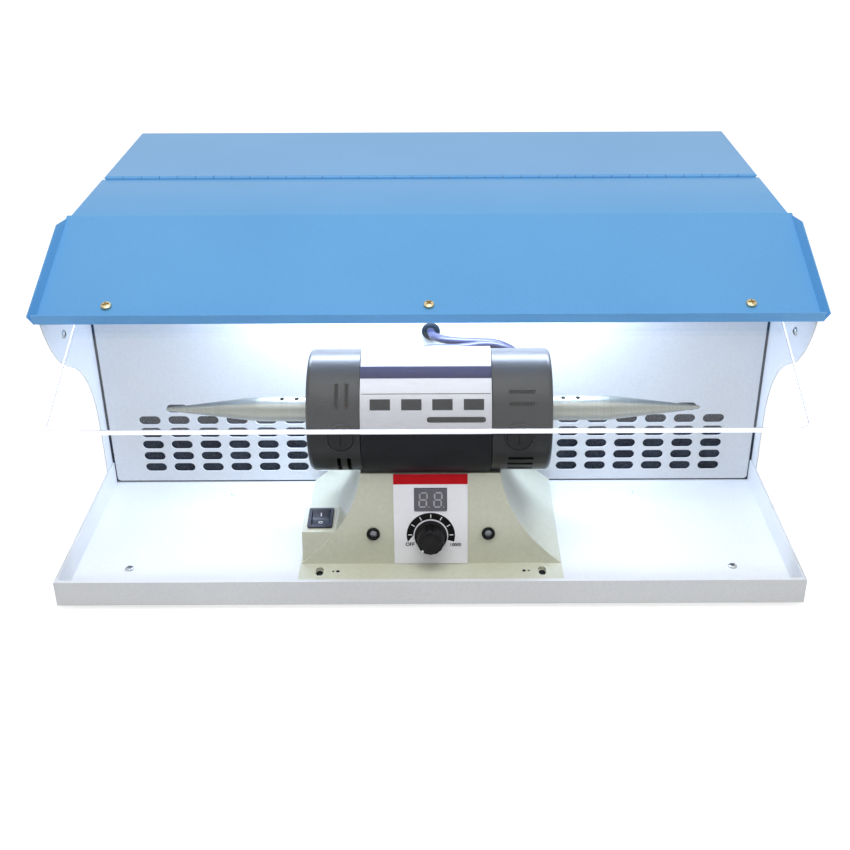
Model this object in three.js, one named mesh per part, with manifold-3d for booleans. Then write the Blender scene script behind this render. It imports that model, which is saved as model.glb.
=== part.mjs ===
// Jewellery polishing machine: a steel cabinet with an open work bay and a dust chamber behind it,
// a hinged hood with a clear shield, and a double-ended bench motor with two tapered spindles.
// Millimetres, +X right, +Y back, +Z up. The model is drawn from the middle of the tray's front
// edge on its underside, and the outer group then stands it on the middle of its footprint.
import * as THREE from 'three';
import { mergeVertices } from 'three/addons/utils/BufferGeometryUtils.js';
import Module from 'manifold-3d';

const wasm = await Module();
wasm.setup();

// Clearances
const gap = 0.3;
const overrun = 2;
const turn = 2 * Math.PI;
const quarter = Math.PI / 2;
const degree = Math.PI / 180;

// Facets round a circle, by the size of the thing
const hexSides = 6;
const smallSides = 10;
const mediumSides = 16;
const largeSides = 24;
const arcSteps = 8;

// Cabinet
const cabinetWidth = 600;
const cabinetDepth = 459;
const cabinetHeight = 262;
const sheet = 1.2;
const lipHeight = 22.4;
const lipHem = 3.5;
const plugX = 180;
const plugY = 169;
const plugRadius = 7;
const plugRise = 1.2;

// Side wall front edge: an ogee of two arcs above a short straight
const wallFrontY = 173.5;
const wallStraightTop = 72.2;
const ogeeLowerRadius = 87.5;
const ogeeUpperRadius = 118;
const ogeeMiddleAngle = 62.4 * degree;
const ogeeTopAngle = 19.8 * degree;
const sideFlange = 11;
const hingeNotch = 26;

// Perforated panel, filter pad and lamp
const panelY = 190;
const panelSideGap = 2.5;
const panelCorner = 3.5;
const panelTopFlange = 26;
const panelTopGap = 2.6;
const slotLength = 19.5;
const slotHeight = 8.5;
const slotPitchX = 26.6;
const slotPitchZ = 12;
const slotFirstX = 72.2;
const slotFirstZ = 17.5;
const slotEdge = 20;
const slotRows = 6;
const slotEndSteps = 3;
const filterDepth = 15;
const filterHeight = 100;
const filterSideGap = 10;
const lampLength = 300;
const lampWidth = 20;
const lampDepth = 10;
const lampWall = 1.4;
const diffuserDrop = 5;
const grommetX = 0;
const grommetZ = 153.9;
const grommetRadius = 8;
const grommetNeck = 6;
const grommetFlange = 2.4;

// Rear panel, fan and mains inlet
const fanBelow = 47.5;
const fanAbove = 39.5;
const shroudSetback = 2;
const shroudWall = 2;
const shroudLength = 50;
const shroudFlange = 8;
const fanHubPlate = 30;
const fanArmWidth = 10;
const fanArms = 3;
const fanMotorRadius = 32;
const fanMotorLength = 45;
const fanShaftRadius = 4;
const fanShaftDepth = 20;
const fanHubRadius = 27;
const fanHubLength = 22;
const fanHubGap = 4;
const fanTipGap = 4;
const fanBladeChord = 34;
const fanBladeThick = 2;
const fanBladePitch = 35 * degree;
const fanBlades = 5;
const grilleRing = 4;
const grilleRings = 3;
const grilleRibs = 4;
const inletEdge = 73.8;
const inletZ = 46;
const inletWidth = 27.5;
const inletHeight = 20;
const inletBezel = 3;
const inletDepth = 24;
const inletSocketDepth = 17;
const inletSocketWall = 2.5;
const inletPinWidth = 4;
const inletPinThick = 2;
const inletPinLength = 13;
const inletPinSpread = 7;

// Rubber feet, stuck to the tray's underside
const footInset = 47;
const footFrontY = 49;
const footBackInset = 49;
const footHeight = 5;
const footRadius = 9;
const footTopRadius = 7.5;

// Hood
const hoodOverhang = 1;
const foldY = 191;
const hingeY = 297;
const visorOverhang = 3.8;
const visorSlope = 21 * degree;
const visorLength = 129.3;
const visorLip = 8;
const visorFlare = 25 * degree;
const flangeCutStart = 3.5;
const flangeCutEnd = 20.5;
const hoodRearFlange = 22;
const leafWidth = 20;
const leafThick = 1;
const barrelRadius = 2.5;
const pinRadius = 1.1;
const pinSides = 6;
const knuckleCount = 36;
const knuckleSides = 8;

// Clear shield under the visor, and its three screws
const shieldSideGap = 25.4;
const shieldStart = 84;
const shieldEnd = 236.5;
const shieldThick = 5;
const shieldCorner = 8;
const shieldScrewEdge = 21.9;
const shieldScrewInset = 18.5;
const screwRadius = 2;
const screwHeadRadius = 4.3;
const screwHeadHeight = 2.6;
const screwLength = 18;
const screwRecess = 1.4;
const screwRecessHalf = 0.55;
const nutRadius = 4;
const nutHeight = 3.2;

// Bench motor base: a bell profile run from front to back under a sloping front plate
const baseTopHalf = 57;
const baseFootHalf = 109;
const flankSideShare = 0.115;
const flankHeightShare = 0.42;
const baseFrontY = 24;
const basePlateY = 47;
const baseRearY = 184;
const baseLean = 10 * degree;
const baseFlatTop = 86;
const baseRearTop = 20;
const baseSaddleRearY = 119;
const baseFoot = 5.5;
const baseWall = 3;
const footSlotX = 92;
const footSlotY = 36;
const footSlotWidth = 6.6;
const footSlotLength = 12.4;
const footSlotStep = 2.5;
const footSlotLower = 4.8;
const latheScrewHead = 2.9;
const latheScrewRadius = 2;
const latheScrewLength = 7;
const latheScrewHeadHeight = 2.2;
const coverThick = 1.5;

// Control plate, display and speed knob on the front plate
const controlWidth = 61;
const controlHeight = 79.8;
const controlThick = 1;
const displayUp = 57.6;
const displayWidth = 26.5;
const displayHeight = 20.2;
const displayDepth = 12;
const displayProud = 0.4;
const dialUp = 26;
const knobSkirtRadius = 13.5;
const knobSkirt = 2.4;
const knobRadius = 11.6;
const knobTopRadius = 10.8;
const knobChamfer = 1;
const knobHeight = 15.5;
const knobLift = 0.8;
const knobFlutes = 14;
const knobFluteRadius = 0.9;
const knobBoreDepth = 10;
const potShaftRadius = 2.5;
const potBushRadius = 4;
const potBushProud = 0.4;
const potBodyRadius = 8.5;
const potBodyDepth = 9;
const potFloor = 1.3;
const boardWidth = 60;
const boardBottom = 10;
const boardTop = 66;
const boardThick = 1.6;
const coverScrewX = 47.6;
const coverScrewUp = 27.2;
const ringRadius = 5.2;
const ringHole = 3.4;
const ringHeight = 2.2;
const coverScrewHead = 3;
const coverScrewHeadHeight = 1.5;
const coverScrewShank = 1.7;
const coverScrewLength = 9;

// Switch box on the left flank
const switchBoxOuterX = -107;
const switchBoxInnerX = -68;
const switchBoxSetback = 1.5;
const switchBoxRearY = 87;
const switchBoxTop = 34.4;
const switchSlope = 5 * degree;
const switchX = -92.6;
const switchY = 71;
const bezelWidth = 21;
const bezelLength = 26;
const bezelHeight = 1.6;
const switchBodyWidth = 18.4;
const switchBodyLength = 22;
const switchBodyDepth = 19;
const rockerWidth = 14.4;
const rockerLength = 18.6;
const rockerWell = 9;
const rockerRise = 1.6;
const rockerTilt = 8 * degree;
const rockerAxle = 1.4;

// Motor on the base
const motorY = 90;
const motorZ = 129;
const motorRadius = 50.6;
const motorWall = 3.5;
const motorLeft = -54.2;
const motorRight = 48.8;
const motorEnd = 96.7;
const capRadius = 48.8;
const capWall = 3;
const capEndWall = 4;
const capRound = 4;
const ventWidth = 3.2;
const ventUpperStart = 39 * degree;
const ventUpperEnd = 63 * degree;
const ventLowerStart = 114 * degree;
const ventLowerEnd = 144 * degree;
const ventOuterPlace = 72.5;
const ventInnerPlace = 64.5;
const ventSlotFrom = 62;
const ventSlotTo = 82.5;
const ventSlotAngles = [47.5, 58.7, 115, 125, 137].map((angle) => angle * degree);
const bossRadius = 12;
const bossRise = 0.6;
const bossDepth = 7;
const brushCapRadius = 10;
const brushCapProud = 0.3;
const brushCapDepth = 3.2;
const brushSlotDepth = 1;
const labelThick = 0.7;
const labelTopAngle = -12 * degree;
const labelBottomAngle = 84 * degree;
const bearingOuter = 13;
const bearingInner = 5.3;
const bearingWidth = 9;
const bearingSeatWall = 2.4;
const statorInner = 27;
const statorHalf = 30;
const armatureRadius = 26;
const armatureHalf = 28;
const commutatorRadius = 14;
const commutatorLength = 16;
const motorShaftRadius = 5;
const shaftRoom = 1.6;
const motorShaftReach = 112;

// Spindles
const spindleTips = { left: 215.5, right: 220.5 };
const spindleTipRadius = 1.3;
const spindleRadius = 10.1;
const spindleChamfer = 0.8;
const spindleStandoff = 1;
const taperLength = 75;
const setScrewRadius = 1.7;
const setScrewDepth = 2.4;
const setScrewPlaces = [108.2, 120.2];

// Motor lead and its strain relief on the base's rear slope
const leadDiameter = 7;
const leadSides = 6;
const leadSteps = 48;
const reliefX = 52;
const reliefShare = 0.42;
const reliefLength = 24;
const reliefNeckWall = 1;
const reliefRadius = 6.5;
const reliefTipRadius = 4.6;
const reliefFlange = 9;
const reliefFlangeThick = 2;
const leadRoute = [
  [0, 187.2, 153.9],
  [2.1, 176.8, 155.2],
  [8.2, 167.7, 156.5],
  [17.3, 161.6, 157.3],
  [28, 159.5, 157.2],
  [44, 161, 156],
  [56, 164, 153.5],
  [66, 168, 148],
  [75, 172.5, 139],
  [81, 176.5, 127],
  [83, 180, 114],
  [80, 182, 101],
  [72, 182.5, 89.5],
  [60, 182, 80],
  [46, 181, 74],
  [29, 179, 71],
  [11, 177, 73],
  [-5, 174, 81.5],
  [-16, 169.5, 95],
  [-22, 164, 111],
  [-23, 158, 128],
  [-20.9, 154.8, 138.7],
  [-14.8, 152, 147.8],
  [-5.7, 150, 153.9],
  [5, 149, 156],
  [18, 148.6, 156],
  [32, 149, 157],
  [45, 149.5, 158.5],
  [57, 150.5, 157],
  [69, 152.5, 150.5],
  [77.5, 156.5, 140.5],
  [81.6, 162.3, 128.2],
  [78.9, 165.9, 116.2],
  [71.2, 171, 107.1],
  [63.7, 173.8, 100.4],
  [57.5, 173.4, 92],
  [53.4, 169.7, 83.2],
];

// Helpers: solids
function point(x, y, z) {
  return new THREE.Vector3(x, y, z);
}

function signedVolume(positions, triangles) {
  const a = point(0, 0, 0);
  const b = point(0, 0, 0);
  const c = point(0, 0, 0);
  let total = 0;
  for (let i = 0; i < triangles.length; i += 3) {
    a.fromArray(positions, triangles[i] * 3);
    b.fromArray(positions, triangles[i + 1] * 3);
    c.fromArray(positions, triangles[i + 2] * 3);
    total += a.dot(b.cross(c));
  }
  return total;
}

function solid(geometry) {
  const bare = geometry.clone();
  bare.deleteAttribute('normal');
  bare.deleteAttribute('uv');
  const merged = mergeVertices(bare);
  const positions = new Float32Array(merged.attributes.position.array);
  const triangles = new Uint32Array(merged.index.array);
  if (signedVolume(positions, triangles) < 0) {
    triangles.reverse();
  }
  return new wasm.Manifold(new wasm.Mesh({
    numProp: 3,
    vertProperties: positions,
    triVerts: triangles,
  }));
}

function block(x0, x1, y0, y1, z0, z1, frame) {
  const geometry = new THREE.BoxGeometry(Math.abs(x1 - x0), Math.abs(y1 - y0), Math.abs(z1 - z0));
  geometry.translate((x0 + x1) / 2, (y0 + y1) / 2, (z0 + z1) / 2);
  if (frame) {
    geometry.applyMatrix4(frame);
  }
  return solid(geometry);
}

const axisBases = {
  x: [point(0, 1, 0), point(0, 0, 1), point(1, 0, 0)],
  y: [point(1, 0, 0), point(0, 0, 1), point(0, -1, 0)],
  z: [point(1, 0, 0), point(0, 1, 0), point(0, 0, 1)],
};

// A prism of a shape drawn in the two other axes, run along one axis
function prism(axis, shape, from, to, frame) {
  const depth = Math.abs(to - from);
  const low = Math.min(from, to);
  const geometry = new THREE.ExtrudeGeometry(shape, {
    depth,
    bevelEnabled: false,
    curveSegments: arcSteps,
  });
  const basis = new THREE.Matrix4().makeBasis(...axisBases[axis]);
  geometry.applyMatrix4(basis);
  const shift = { x: [low, 0, 0], y: [0, low + depth, 0], z: [0, 0, low] }[axis];
  geometry.translate(...shift);
  if (frame) {
    geometry.applyMatrix4(frame);
  }
  return solid(geometry);
}

function circle(u, v, radius, sides) {
  const points = [];
  for (let i = 0; i < sides; i += 1) {
    const angle = (turn * i) / sides;
    points.push(new THREE.Vector2(u + radius * Math.cos(angle), v + radius * Math.sin(angle)));
  }
  return new THREE.Shape(points);
}

function rod(axis, radius, from, to, u, v, sides, frame) {
  return prism(axis, circle(u, v, radius, sides), from, to, frame);
}

function polygon(points) {
  return new THREE.Shape(points.map(([u, v]) => new THREE.Vector2(u, v)));
}

function rectangle(u0, u1, v0, v1) {
  return polygon([[u0, v0], [u1, v0], [u1, v1], [u0, v1]]);
}

// A stadium outline: a slot of the given overall length along u
function stadium(u, v, length, height, steps) {
  const radius = height / 2;
  const reach = length / 2 - radius;
  const points = [];
  for (let i = 0; i <= steps; i += 1) {
    const angle = -quarter + (Math.PI * i) / steps;
    points.push([u + reach + radius * Math.cos(angle), v + radius * Math.sin(angle)]);
  }
  for (let i = 0; i <= steps; i += 1) {
    const angle = quarter + (Math.PI * i) / steps;
    points.push([u - reach + radius * Math.cos(angle), v + radius * Math.sin(angle)]);
  }
  return polygon(points);
}

// A turned solid: profile points are radius and distance along the axis
function turned(axis, profile, centre, sides, frame) {
  const points = profile.map(([radius, along]) => new THREE.Vector2(radius, along));
  const geometry = new THREE.LatheGeometry(points, sides);
  if (axis === 'x') {
    geometry.rotateZ(-quarter);
  }
  if (axis === 'z') {
    geometry.rotateX(quarter);
  }
  geometry.translate(...centre);
  if (frame) {
    geometry.applyMatrix4(frame);
  }
  return solid(geometry);
}

// A turned ring: closed rectangular section between two radii
function ring(axis, inner, outer, from, to, centre, sides, frame) {
  const profile = [[inner, from], [outer, from], [outer, to], [inner, to], [inner, from]];
  return turned(axis, profile, centre, sides, frame);
}

function union(parts) {
  return parts.reduce((whole, part) => whole.add(part));
}

function cut(body, tools) {
  return tools.reduce((whole, tool) => whole.subtract(tool), body);
}

// Helpers: finishes and named meshes
const finishes = {
  whitePowder: { color: 0xf2f3f1, roughness: 0.45, metalness: 0 },
  bluePowder: { color: 0x5a9ad6, roughness: 0.42, metalness: 0 },
  beigeEnamel: { color: 0xd0d2c2, roughness: 0.4, metalness: 0 },
  blackPlastic: { color: 0x202427, roughness: 0.5, metalness: 0 },
  glossBlack: { color: 0x15171a, roughness: 0.25, metalness: 0 },
  rubber: { color: 0x1b1b1c, roughness: 0.8, metalness: 0 },
  steel: { color: 0xc9ccd0, roughness: 0.28, metalness: 1 },
  zinc: { color: 0xb9bdc2, roughness: 0.4, metalness: 1 },
  aluminium: { color: 0xd5d8db, roughness: 0.35, metalness: 1 },
  acrylic: { color: 0xe8f0f6, roughness: 0.05, metalness: 0, transparent: true, opacity: 0.25 },
  opal: { color: 0xf6f9ff, roughness: 0.4, metalness: 0 },
  label: { color: 0xd9dbe0, roughness: 0.35, metalness: 0 },
  plateWhite: { color: 0xf3f2f4, roughness: 0.4, metalness: 0 },
  display: { color: 0x4a4852, roughness: 0.3, metalness: 0 },
  board: { color: 0x1f5f3c, roughness: 0.6, metalness: 0 },
  foam: { color: 0x2b2e31, roughness: 0.95, metalness: 0 },
  copper: { color: 0xb06a3b, roughness: 0.4, metalness: 1 },
  iron: { color: 0x6c6f73, roughness: 0.5, metalness: 1 },
  cable: { color: 0x3c3f45, roughness: 0.6, metalness: 0 },
};

function piece(name, finish, body) {
  const mesh = body.getMesh();
  const geometry = new THREE.BufferGeometry();
  geometry.setAttribute('position', new THREE.BufferAttribute(mesh.vertProperties, 3));
  geometry.setIndex(new THREE.BufferAttribute(mesh.triVerts, 1));
  geometry.computeVertexNormals();
  const part = new THREE.Mesh(geometry, new THREE.MeshStandardMaterial(finishes[finish]));
  part.name = name;
  return part;
}

const sides = [['left', -1], ['right', 1]];

// Places shared by several pieces
const wallInner = cabinetWidth / 2 - sheet;
const floorHalf = wallInner - gap;
const floorTop = sheet;
const hoodUnder = cabinetHeight - sheet;
const hoodHalf = cabinetWidth / 2 + hoodOverhang;
const rearPanelY = cabinetDepth - sheet - gap - sheet;
const baseBottom = floorTop + gap;
const footX = cabinetWidth / 2 - footInset;
const footBackY = cabinetDepth - footBackInset;
const shieldHalf = wallInner - shieldSideGap;
const shieldScrewX = shieldHalf - shieldScrewEdge;
const baseFootTop = baseBottom + baseFoot;

// The rear panel's hole takes the room that its margins leave, and the fan follows the hole
const rearPanelBottom = floorTop + gap;
const rearPanelTop = hoodUnder - gap;
const fanHoleRadius = (rearPanelTop - rearPanelBottom - fanBelow - fanAbove) / 2;
const fanZ = rearPanelBottom + fanBelow + fanHoleRadius;
const shroudInner = fanHoleRadius + shroudSetback;
const fanBladeReach = shroudInner - fanTipGap;
const inletX = wallInner - inletEdge;

// Turned frames that carry several pieces
function frameAt(origin, tilt) {
  const frame = new THREE.Group();
  frame.position.copy(origin);
  frame.rotation.x = tilt;
  frame.updateMatrix();
  return frame;
}

// The visor's frame: -Y runs down the visor from the fold, +Z stands off its top face
const visorFrame = frameAt(point(0, foldY, cabinetHeight), visorSlope);
// The front plate's frame: +Z runs up the plate, +Y goes into the base
const frontFrame = frameAt(point(0, basePlateY, baseFootTop), -baseLean);
// The switch box's front leans as the front plate does, a little behind it
const switchBoxFootY = basePlateY + switchBoxSetback;
const switchBoxFrontY = switchBoxFootY + (switchBoxTop - baseFootTop) * Math.tan(baseLean);
// The switch frame lies on the sloping top of the switch box
const switchRise = (switchY - switchBoxFrontY) * Math.tan(switchSlope);
const switchFrame = frameAt(point(switchX, switchY, switchBoxTop + switchRise), switchSlope);
// The strain relief's frame: +Z stands off the base's rear slope
const rearSlope = Math.atan2(baseFlatTop - baseRearTop, baseRearY - baseSaddleRearY);
const reliefOrigin = point(
  reliefX,
  baseSaddleRearY + reliefShare * (baseRearY - baseSaddleRearY),
  baseFlatTop - reliefShare * (baseFlatTop - baseRearTop),
);
const reliefFrame = frameAt(reliefOrigin, -rearSlope);

// Cabinet

function baseTray() {
  const half = cabinetWidth / 2;
  const rear = rearPanelY - gap;
  const parts = [
    block(-floorHalf, floorHalf, 0, rear, 0, floorTop),
    block(-half, half, 0, sheet, 0, lipHeight),
    block(-floorHalf, floorHalf, 0, lipHem, lipHeight - sheet, lipHeight),
  ];
  const dome = [
    [0, floorTop - sheet / 2],
    [plugRadius, floorTop - sheet / 2],
    [plugRadius, floorTop],
    [plugRadius - plugRise, floorTop + plugRise],
    [0, floorTop + plugRise],
  ];
  for (const [, side] of sides) {
    parts.push(block(side * (floorHalf - sheet), side * floorHalf, 0, rear, 0, lipHeight));
    parts.push(turned('z', dome, [side * plugX, plugY, 0], smallSides));
  }
  const holes = [];
  for (const [, side] of sides) {
    holes.push(rod(
      'z', latheScrewRadius + gap, -overrun, floorTop + overrun, side * footSlotX, footSlotY, smallSides,
    ));
  }
  return piece('base_tray', 'whitePowder', cut(union(parts), holes));
}

// The wall's outline from the rim's front, up the ogee and along the top to the rear edge
function wallOutline() {
  const points = [[sheet + gap, 0], [sheet + gap, lipHeight], [wallFrontY, lipHeight]];
  for (let i = 0; i <= arcSteps; i += 1) {
    const angle = (ogeeMiddleAngle * i) / arcSteps;
    points.push([
      wallFrontY - ogeeLowerRadius * (1 - Math.cos(angle)),
      wallStraightTop + ogeeLowerRadius * Math.sin(angle),
    ]);
  }
  const [middleY, middleZ] = points[points.length - 1];
  for (let i = 1; i <= arcSteps; i += 1) {
    const angle = ogeeMiddleAngle + ((ogeeTopAngle - ogeeMiddleAngle) * i) / arcSteps;
    points.push([
      middleY - ogeeUpperRadius * (Math.cos(angle) - Math.cos(ogeeMiddleAngle)),
      middleZ + ogeeUpperRadius * (Math.sin(ogeeMiddleAngle) - Math.sin(angle)),
    ]);
  }
  const noseY = points[points.length - 1][0];
  const rear = rearPanelY + sheet;
  points.push([noseY, hoodUnder - gap], [rear, hoodUnder - gap], [rear, 0]);
  return points;
}

// Everything above the visor's underside, for trimming what stands under it
function aboveVisor() {
  const half = cabinetWidth;
  const under = -sheet - gap;
  return block(-half, half, -2 * visorLength, 0, under, visorLength, visorFrame.matrix);
}

function sidePanel(name, side) {
  const outer = side * (cabinetWidth / 2);
  const inner = side * wallInner;
  const flangeInner = side * (wallInner - sideFlange);
  const top = hoodUnder - gap;
  const flangeRear = rearPanelY - gap;
  const wall = cut(prism('x', polygon(wallOutline()), inner, outer), [aboveVisor()]);
  const parts = [
    wall,
    block(flangeInner, outer, foldY + panelTopFlange / 2, hingeY - hingeNotch, top - sheet, top),
    block(flangeInner, outer, hingeY + hingeNotch, flangeRear, top - sheet, top),
    block(flangeInner, outer, flangeRear - sheet, flangeRear, lipHeight + gap, top),
  ];
  return piece(name, 'whitePowder', union(parts));
}

function perforatedPanel() {
  const half = wallInner - panelSideGap;
  const bottom = floorTop + gap;
  const top = hoodUnder - panelTopGap;
  const outline = new THREE.Shape();
  outline.moveTo(-half + panelCorner, bottom);
  outline.lineTo(half - panelCorner, bottom);
  outline.absarc(half - panelCorner, bottom + panelCorner, panelCorner, -quarter, 0, false);
  outline.lineTo(half, top);
  outline.lineTo(-half, top);
  outline.absarc(-half + panelCorner, bottom + panelCorner, panelCorner, Math.PI, 3 * quarter, false);
  const slotColumns = Math.floor((half - slotEdge - slotFirstX) / slotPitchX) + 1;
  for (let row = 0; row < slotRows; row += 1) {
    const columns = row === slotRows - 1 ? slotColumns - 1 : slotColumns;
    for (let column = 0; column < columns; column += 1) {
      for (const [, side] of sides) {
        const x = side * (slotFirstX + column * slotPitchX);
        const z = slotFirstZ + row * slotPitchZ;
        outline.holes.push(stadium(x, z, slotLength, slotHeight, slotEndSteps));
      }
    }
  }
  outline.holes.push(circle(grommetX, grommetZ, grommetNeck + gap, mediumSides));
  const parts = [
    prism('y', outline, panelY, panelY + sheet),
    block(-half, half, panelY, panelY + panelTopFlange, top - sheet, top),
  ];
  return piece('perforated_panel', 'whitePowder', union(parts));
}

function filterPad() {
  const half = wallInner - filterSideGap;
  const front = panelY + sheet + gap;
  const bottom = floorTop + gap;
  return piece('filter_pad', 'foam', block(-half, half, front, front + filterDepth, bottom, filterHeight));
}

function rearPanel() {
  const outline = rectangle(-floorHalf, floorHalf, rearPanelBottom, rearPanelTop);
  const clearW = inletWidth / 2 + gap;
  const clearH = inletHeight / 2 + gap;
  outline.holes.push(circle(0, fanZ, fanHoleRadius, largeSides));
  outline.holes.push(rectangle(inletX - clearW, inletX + clearW, inletZ - clearH, inletZ + clearH));
  return piece('rear_panel', 'whitePowder', prism('y', outline, rearPanelY, rearPanelY + sheet));
}

const shroudRear = rearPanelY - gap;
const shroudFront = shroudRear - shroudLength;
const fanCentre = [0, 0, fanZ];

function fanShroud() {
  const outer = shroudInner + shroudWall;
  const parts = [
    ring('y', shroudInner, outer, shroudFront, shroudRear, fanCentre, largeSides),
    ring('y', shroudInner, outer + shroudFlange, shroudRear - shroudWall, shroudRear, fanCentre, largeSides),
    rod('y', fanHubPlate, shroudFront, shroudFront + shroudWall, 0, fanZ, mediumSides),
  ];
  for (let i = 0; i < fanArms; i += 1) {
    const frame = new THREE.Matrix4().makeRotationY((turn * i) / fanArms).setPosition(0, 0, fanZ);
    parts.push(block(
      -fanArmWidth / 2, fanArmWidth / 2, shroudFront, shroudFront + shroudWall,
      fanHubPlate - overrun, shroudInner + shroudWall / 2, frame,
    ));
  }
  const hole = rod(
    'y', fanShaftRadius + 2 * gap, shroudFront - overrun, shroudFront + shroudWall + overrun,
    0, fanZ, mediumSides,
  );
  return piece('fan_shroud', 'zinc', cut(union(parts), [hole]));
}

function fanMotor() {
  const rear = shroudFront - gap;
  const body = rod('y', fanMotorRadius, rear - fanMotorLength, rear, 0, fanZ, mediumSides);
  const bore = rod(
    'y', fanShaftRadius + gap, rear - fanShaftDepth - gap, rear + overrun, 0, fanZ, mediumSides,
  );
  return piece('fan_motor', 'iron', cut(body, [bore]));
}

function fanImpeller() {
  const front = shroudFront + shroudWall + fanHubGap;
  const rear = front + fanHubLength;
  const shaftEnd = shroudFront - gap - fanShaftDepth;
  const middle = (front + rear) / 2;
  const parts = [
    rod('y', fanHubRadius, front, rear, 0, fanZ, mediumSides),
    rod('y', fanShaftRadius, shaftEnd, front + overrun, 0, fanZ, smallSides),
  ];
  for (let i = 0; i < fanBlades; i += 1) {
    const frame = new THREE.Matrix4().makeRotationY((turn * i) / fanBlades);
    frame.setPosition(0, middle, fanZ);
    frame.multiply(new THREE.Matrix4().makeRotationZ(fanBladePitch));
    parts.push(block(
      -fanBladeChord / 2, fanBladeChord / 2, -fanBladeThick / 2, fanBladeThick / 2,
      fanHubRadius - overrun, fanBladeReach, frame,
    ));
  }
  return piece('fan_impeller', 'blackPlastic', union(parts));
}

function exhaustGrille() {
  const front = rearPanelY + sheet + gap;
  const rear = cabinetDepth;
  const outer = fanHoleRadius + 2 * grilleRing;
  const step = (outer - grilleRing) / grilleRings;
  const parts = [];
  for (let i = 0; i < grilleRings; i += 1) {
    const radius = outer - i * step;
    const width = i === 0 ? 2 * grilleRing : grilleRing;
    parts.push(ring('y', radius - width, radius, front, rear, fanCentre, largeSides));
  }
  for (let i = 0; i < grilleRibs; i += 1) {
    const frame = new THREE.Matrix4().makeRotationY((Math.PI * (i + 1 / 2)) / grilleRibs);
    frame.setPosition(0, 0, fanZ);
    const reach = outer - grilleRing;
    parts.push(block(-grilleRing / 2, grilleRing / 2, front, rear, -reach, reach, frame));
  }
  return piece('exhaust_grille', 'blackPlastic', union(parts));
}

function powerInlet() {
  const rear = cabinetDepth;
  const faceFront = rearPanelY + sheet + gap;
  const halfW = inletWidth / 2;
  const halfH = inletHeight / 2;
  const floor = rear - inletSocketDepth;
  const body = union([
    block(inletX - halfW - inletBezel, inletX + halfW + inletBezel, faceFront, rear,
      inletZ - halfH - inletBezel, inletZ + halfH + inletBezel),
    block(inletX - halfW, inletX + halfW, rear - inletDepth, rear, inletZ - halfH, inletZ + halfH),
  ]);
  const socketW = halfW - inletSocketWall;
  const socketH = halfH - inletSocketWall;
  const socket = block(inletX - socketW, inletX + socketW, floor, rear + overrun,
    inletZ - socketH, inletZ + socketH);
  const pins = [-1, 0, 1].map((place) => {
    const x = inletX + place * inletPinSpread;
    return block(x - inletPinThick / 2, x + inletPinThick / 2, floor - overrun, floor + inletPinLength,
      inletZ - inletPinWidth / 2, inletZ + inletPinWidth / 2);
  });
  return piece('power_inlet', 'blackPlastic', union([cut(body, [socket]), ...pins]));
}

const lampFront = panelY - gap - lampWidth;
const lampTop = hoodUnder - 2 * gap - (foldY - lampFront) * Math.tan(visorSlope);

function lampHousing() {
  const half = lampLength / 2;
  const body = block(-half, half, lampFront, lampFront + lampWidth, lampTop - lampDepth, lampTop);
  const channel = block(-half + lampWall, half - lampWall, lampFront + lampWall,
    lampFront + lampWidth - lampWall, lampTop - lampDepth - overrun, lampTop - lampWall);
  return piece('lamp_housing', 'aluminium', cut(body, [channel]));
}

function lampDiffuser() {
  const half = lampLength / 2 - lampWall - gap;
  const y0 = lampFront + lampWall + gap;
  const y1 = lampFront + lampWidth - lampWall - gap;
  const top = lampTop - lampWall - gap;
  const bottom = lampTop - lampDepth - diffuserDrop;
  const bevel = diffuserDrop;
  const outline = polygon([
    [y0, top], [y0, bottom + bevel], [y0 + bevel, bottom],
    [y1 - bevel, bottom], [y1, bottom + bevel], [y1, top],
  ]);
  return piece('lamp_diffuser', 'opal', prism('x', outline, -half, half));
}

function panelGrommet() {
  const bore = leadDiameter / 2 + gap;
  const front = panelY - gap;
  const rear = panelY + sheet + gap;
  const profile = [
    [bore, front - grommetFlange],
    [grommetRadius - gap, front - grommetFlange],
    [grommetRadius, front],
    [grommetNeck, front],
    [grommetNeck, rear],
    [grommetRadius, rear],
    [grommetRadius - gap, rear + grommetFlange],
    [bore, rear + grommetFlange],
    [bore, front - grommetFlange],
  ];
  return piece('panel_grommet', 'rubber', turned('y', profile, [grommetX, 0, grommetZ], mediumSides));
}

function rubberFoot(name, x, y) {
  const profile = [
    [0, -footHeight],
    [footRadius, -footHeight],
    [footTopRadius, -gap],
    [0, -gap],
  ];
  return piece(name, 'rubber', turned('z', profile, [x, y, 0], smallSides));
}

// Hood

const panelEdge = barrelRadius + 2 * gap;
const leafTop = hoodUnder - gap;
const leafBottom = leafTop - leafThick;
const hingeZ = leafBottom + barrelRadius;
const knucklePitch = (2 * floorHalf) / knuckleCount;

function hoodRearPanel() {
  const parts = [
    block(-hoodHalf, hoodHalf, hingeY + panelEdge, cabinetDepth, hoodUnder, cabinetHeight),
    block(-hoodHalf, hoodHalf, cabinetDepth - sheet, cabinetDepth,
      cabinetHeight - hoodRearFlange, cabinetHeight),
  ];
  return piece('hood_rear_panel', 'bluePowder', union(parts));
}

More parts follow.
